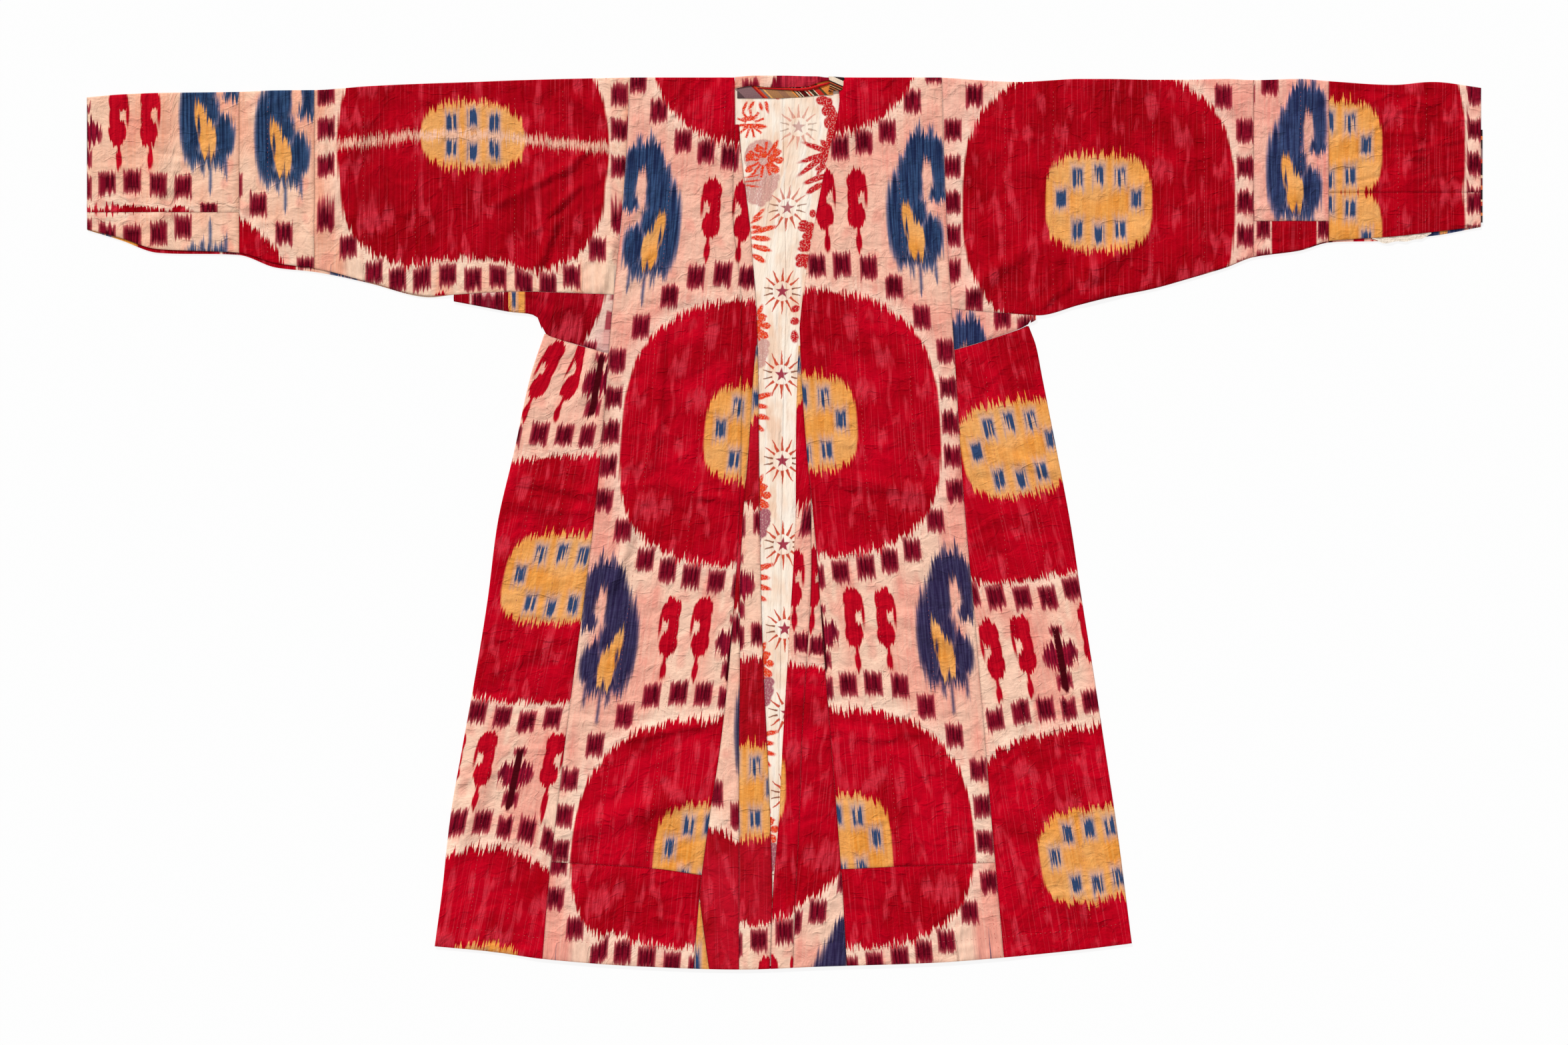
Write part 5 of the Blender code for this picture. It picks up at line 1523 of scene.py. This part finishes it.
def facing_point(run, rise):
    """A point of the facing, plump in its middle and thin at its lower edge."""
    x = blend(-NECK_LEFT + 3, NECK_RIGHT - 4, run)
    y = blend(facing_low(x), neck_low(x) + 1.5, rise)
    high = FACING_TOP + 0.35 * math.sin(math.pi * min(rise * 1.4, 1)) - (0.3 if rise == 0 else 0)
    return (x, y, high), (x, y, FACING_TOP - FACING), (x, y - STRIPES_FROM)


facing = small_sheet("robe_neck_facing", stations(130, 2.5), (0, 0.12, 0.3, 0.5, 0.75, 1),
                     facing_point)
finish_piece(facing, facing_cloth, ["neck_facing"], (132, 16), 0.95)

band_low = FACING_TOP + SEAM
BAND_U, BAND_V, BAND_V_END = 154, 494, -130
sections = []
for share_out in stations(NECK_LEFT + NECK_RIGHT, 2.5):
    x = blend(-NECK_LEFT, NECK_RIGHT, share_out)
    section = []
    for rise, plump in ((0.0, 0.0), (0.12, 0.5), (0.4, 0.7), (0.75, 0.5)):
        y = blend(neck_low(x), neck_top(x) - 3, rise)
        high = band_low + BAND + plump * (1 + 0.5 * math.sin(x / 4.1))
        section.append(((x, y, high), (x, y, band_low), (BAND_U - x, BAND_V - y), FREE))
    for outer, inner in fold_points(x, neck_top(x), (0, -1), band_low, BAND):
        section.append((outer, inner, (BAND_U - x, BAND_V - outer[1]), FREE))
    section.append(((x, NECK_CUT + HALF, 0.0), (x, NECK_CUT + HALF, BAND),
                    (BAND_U - x, BAND_V_END), FREE))
    sections.append(section)
neck_ikat = ikat_cloth("ikat_neck", "EBA890", "E2957E", "EFB89E", "1F3354", "41628A",
                       "740A20", "9A142C")
finish_piece(wall("robe_neck_band", sections), neck_ikat, ["neck_band"], (138, 46), 0.95)


def plain_cloth(name, colour, roughness):
    """Cloth of one colour, a little uneven from wear."""
    finish, tree, shader = new_finish(name, roughness, 0.15)
    place = in_millimetres(tree, "Cloth")
    grain = node(tree, "TexNoise", {"Vector": place, "Scale": 0.35, "Detail": 3.0})
    shade = share(tree, grain.outputs[0], 0.3, 0.7, 0.78, 1.1)
    dress(tree, shader, shaded(tree, srgb(colour), shade), grain.outputs[0], 0.0015)
    return finish


red_roll = plain_cloth("red_roll", "D2141A", 0.6)
Strand = namedtuple("Strand", "x y half")
LOWER_STRAND = (Strand(-36, 589.4, 0.6), Strand(-5, 588, 1.2), Strand(12, 587.4, 1.6),
                Strand(20, 587, 2.0), Strand(35, 588.6, 2.1), Strand(47, 592, 2.0),
                Strand(58, 595, 1.5), Strand(63, 597, 0.8))
strand_y, strand_half = curve(LOWER_STRAND, "x", "y"), curve(LOWER_STRAND, "x", "half")
ROLL_START, ROLL_END = -36, 62


def roll_point(run, rise):
    """A point of the roll, round across and uneven along from its twist."""
    x = blend(ROLL_START, ROLL_END, run)
    away, plump = rise
    y, half_wide = strand_y(x) + strand_half(x) * away, strand_half(x)
    high = FACING_TOP + 0.35 + SEAM + half_wide * plump * (1.1 + 0.12 * math.sin(x * 1.7))
    return (x, y, high), (x, y, FACING_TOP + 0.2 + SEAM), (x, 3 * away)


roll = small_sheet("robe_neck_roll", stations(ROLL_END - ROLL_START, 2.0),
                   ((-1, 0.2), (-0.6, 0.85), (0, 1.15), (0.6, 0.85), (1, 0.2)), roll_point)
finish_piece(roll, red_roll, ["neck_piping"], (102, 10), 0.42)

# Scrap of darker striped cloth, left where the facing is folded over the right end of the neck and
# caught in its seam
SCRAP_STRIPES = (Stripe(-8, "2A1A16"), Stripe(7, "C8703A"), Stripe(8.5, "3A2418"),
                 Stripe(10.5, "B8622E"), Stripe(12, "20140F"), Stripe(13.5, "D8A070"),
                 Stripe(14.5, "4A2A18"), Stripe(17, "C4522A"), Stripe(18.5, "2A1A14"),
                 Stripe(20.5, "F0DAC2"), Stripe(27.5, "2A1414"))
scrap_cloth = striped_cloth("striped_scrap", SCRAP_STRIPES, 1.0)
scrap_top = under(72, 595) + WALL + 1.2
SCRAP_LEFT, SCRAP_RIGHT = 60, 81


def scrap_point(run, rise):
    """A point of the scrap, raised a little within its edges."""
    x = blend(SCRAP_LEFT, SCRAP_RIGHT, run) + 2.0 * math.sin(rise * 3)
    y = blend(584 + 3 * run, 605 - 1.5 * run, rise)
    edge = min(rise, 1 - rise) * min(run, 1 - run)
    high = scrap_top + 0.7 * ease(edge * 20)
    return (x, y, high), (x, y, scrap_top - 0.6), (0.45 * (x - SCRAP_LEFT), y - STRIPES_FROM)


scrap = small_sheet("robe_neck_scrap", stations(20, 2.0, (0.6, 1.6)),
                    (0, 0.1, 0.35, 0.65, 0.9, 1), scrap_point)
finish_piece(scrap, scrap_cloth, [], (22, 22), 0.9)

# Cuff ends. A narrow striped facing edges the right cuff, and where the cuff's lower edge sags
# the lining shows under it.
CUFF_STRIPES = (Stripe(0, "2A1A1E"), Stripe(9, "E07A3A"), Stripe(13, "2A1A1E"),
                Stripe(22, "C8442E"), Stripe(28, "E8C8A0"), Stripe(31, "2A1A1E"),
                Stripe(44, "D86A34"), Stripe(50, "6A1A1E"), Stripe(60, "E8C8A0"),
                Stripe(64, "2A1A1E"), Stripe(80, "C8442E"), Stripe(86, "8A6668"),
                Stripe(100, "2A1A1E"), Stripe(112, "E07A3A"), Stripe(117, "2A1A1E"),
                Stripe(132, "C8442E"), Stripe(140, "2A1A1E"))
CUFF_LOW, CUFF_HIGH = 407, 533


def cuff_facing_point(run, rise):
    """A point of the edging, which rolls over the end of the cuff's face."""
    y = blend(CUFF_LOW, CUFF_HIGH, run)
    past, z = rise
    low = under(945, y)
    return ((CUFF_END + past, y, low + WALL - 0.9 + z), (CUFF_END + past - 0.3, y, low - 0.2),
            (y - CUFF_LOW, past))


cuff_facing = small_sheet("robe_cuff_facing_right", stations(CUFF_HIGH - CUFF_LOW, 3.0),
                          ((-1.2, -0.2), (0.2, 0.4), (1.2, 0.5), (2.1, 0.1), (2.1, -1.1)),
                          cuff_facing_point)
finish_piece(cuff_facing, striped_cloth("striped_cuff_facing", CUFF_STRIPES, 0.0), [],
             (128, 16), 0.32)


def cuff_lining_point(run, rise):
    """A point of the lining that hangs out, lowest in the middle."""
    x = blend(798, 878, run)
    low = sleeve_under["right"](x)
    sag = 5.5 * ease(run * 5) * ease((1 - run) * 5) + 0.8 * math.sin(x / 4.3)
    y = blend(low - 2 - sag, low + 1.5, rise)
    return (x, y, 2.6 + 0.5 * math.sin(x / 3.1 + 3 * rise)), (x, y, 2.05), (x, y)


cuff_lining = small_sheet("robe_cuff_lining_right", stations(78, 3.0), (0, 0.25, 0.6, 1),
                          cuff_lining_point)
finish_piece(cuff_lining, plain_cloth("cream_lining", "F8E8D6", 0.9), [], (80, 10), 0.9)

# Quilting and mending. Rows of running stitches in faded rose thread hold face and lining
# together, down the fronts, round the sleeves and above the hem. Each stitch is drawn thicker
# than its 0.3 mm thread so that it shows.
STITCH, PITCH, THREAD = 2.6, 6.4, 0.32
# Corners of a stitch: its share of the length and of the thread, and its height
SPINDLE = ((-1, 0, 0.0), (1, 0, 0.0), (0, 1, 0.06), (0, -1, 0.06), (0, 0, 0.24), (0, 0, -0.3))
RUN = 10                # a line of stitches follows a seam in runs of this length
OVER_HEM = 28
Row = namedtuple("Row", "x0 y0 x1 y1")


def stitch_rows():
    """Lines of stitches over the whole front, each from one point to another."""
    rows = []
    for side in SIDES:
        seam = side_seam[side.name]
        for inset in (62, 130):
            for y in range(-460, 580, RUN):
                rows.append(Row(side.sign * (seam(y) - inset), y,
                                side.sign * (seam(y + RUN) - inset), y + RUN))
        edge = curve(GORES[side.name], "y", "out")
        for part in (0.35, 0.7):
            for y in range(-540, 200, RUN):
                ends = [blend(seam(level), edge(level), part) for level in (y, y + RUN)]
                rows.append(Row(side.sign * ends[0], y, side.sign * ends[1], y + RUN))
        low, top = sleeve_under[side.name], sleeve_top[side.name]
        for out in (300, 365, 500, 570, 700, 832, 870):
            y = low(out) + 12
            while y < top(out) - 24:
                rows.append(Row(side.sign * out, y, side.sign * (out + 0.8 * math.sin(y)), y + 12))
                y += 12
        for out in range(120, 455, RUN):
            rows.append(Row(side.sign * out, hem(side.sign * out) + OVER_HEM,
                            side.sign * (out + RUN), hem(side.sign * (out + RUN)) + OVER_HEM))
    return rows


def stitches(rows, colour_name, colour, name, seed):
    """Joined mesh of short spindle-shaped stitches, a little crooked, lying on the cloth."""
    draw = random.Random(seed)
    verts, faces = [], []
    carried = 0.0
    for row in rows:
        dx, dy = row.x1 - row.x0, row.y1 - row.y0
        length = math.hypot(dx, dy)
        go = carried
        while go < length:
            x = row.x0 + dx * go / length + draw.uniform(-0.5, 0.5)
            y = row.y0 + dy * go / length + draw.uniform(-0.5, 0.5)
            lean = math.atan2(dy, dx) + draw.uniform(-0.16, 0.16)
            long = STITCH * draw.uniform(0.7, 1.1) / 2
            z = face_point(x, y, EASY)[0][2]
            cos, sin = math.cos(lean), math.sin(lean)
            first = len(verts)
            for ahead, beside, up in SPINDLE:
                a, b = ahead * long, beside * THREAD
                verts.append(((x + a * cos - b * sin) * MM, (y + a * sin + b * cos) * MM,
                              (z + up) * MM))
            for i, j in ((0, 3), (3, 1), (1, 2), (2, 0)):
                faces.append((first + i, first + j, first + 4))
                faces.append((first + j, first + i, first + 5))
            go += PITCH * draw.uniform(0.85, 1.15)
        carried = go - length
    mesh = bpy.data.meshes.new(name)
    mesh.from_pydata(verts, [], faces)
    thread, _, shader = new_finish(colour_name, 0.8, 0.1)
    shader.inputs["Base Color"].default_value = srgb(colour)
    mesh.materials.append(thread)
    piece = bpy.data.objects.new(name, mesh)
    bpy.context.scene.collection.objects.link(piece)
    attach(piece, "root")


stitches(stitch_rows(), "quilting_thread", "B4625E", "robe_quilting", 3)
stitches((Row(282, -528, 286, -560), Row(286, -560, 294, -590), Row(-236, 252, -235, 300),
          Row(309, 561, 342, 561), Row(-186, 133, -172, 133), Row(300, 560, 312, 556)),
         "red_thread", "B2141E", "robe_mending", 4)

# Pale floor that glows a little, as a light table does, so that it stays pale round the robe. The
# sun is low, beyond the neck and to the left, and the room is pale. The camera looks straight down.
FLOOR_REACH, FLOOR_DOWN = 9.0, -0.0004
floor_mesh = bpy.data.meshes.new("floor")
floor_mesh.from_pydata([(x * FLOOR_REACH, y * FLOOR_REACH, FLOOR_DOWN)
                        for x, y in ((-1, -1), (1, -1), (1, 1), (-1, 1))], [], [(0, 1, 2, 3)])
floor = bpy.data.objects.new("floor", floor_mesh)
bpy.context.scene.collection.objects.link(floor)
floor_finish, _, shader = new_finish("floor", 1.0, 0.0)
shader.inputs["Base Color"].default_value = (0.12, 0.12, 0.12, 1)
shader.inputs["Emission Color"].default_value = (1, 1, 1, 1)
shader.inputs["Emission Strength"].default_value = 0.87
floor_mesh.materials.append(floor_finish)

world = bpy.data.worlds.new("room")
bpy.context.scene.world = world
world.use_nodes = True
room = world.node_tree.nodes["Background"]
room.inputs["Color"].default_value = (1.0, 1.0, 1.0, 1.0)
room.inputs["Strength"].default_value = 0.44
sun = bpy.data.lights.new("key", "SUN")
sun.energy = 2.75
sun.angle = math.radians(5)
key = bpy.data.objects.new("key", sun)
key.rotation_euler = (math.radians(-45), math.radians(-29), 0)
bpy.context.scene.collection.objects.link(key)

lens = bpy.data.cameras.new("camera")
lens.lens = 70
lens.sensor_width = 36
camera = bpy.data.objects.new("camera", lens)
camera.location = (0.0, 0.0, 4.139)
bpy.context.scene.collection.objects.link(camera)
bpy.context.scene.camera = camera
bpy.context.scene.view_settings.view_transform = "Standard"
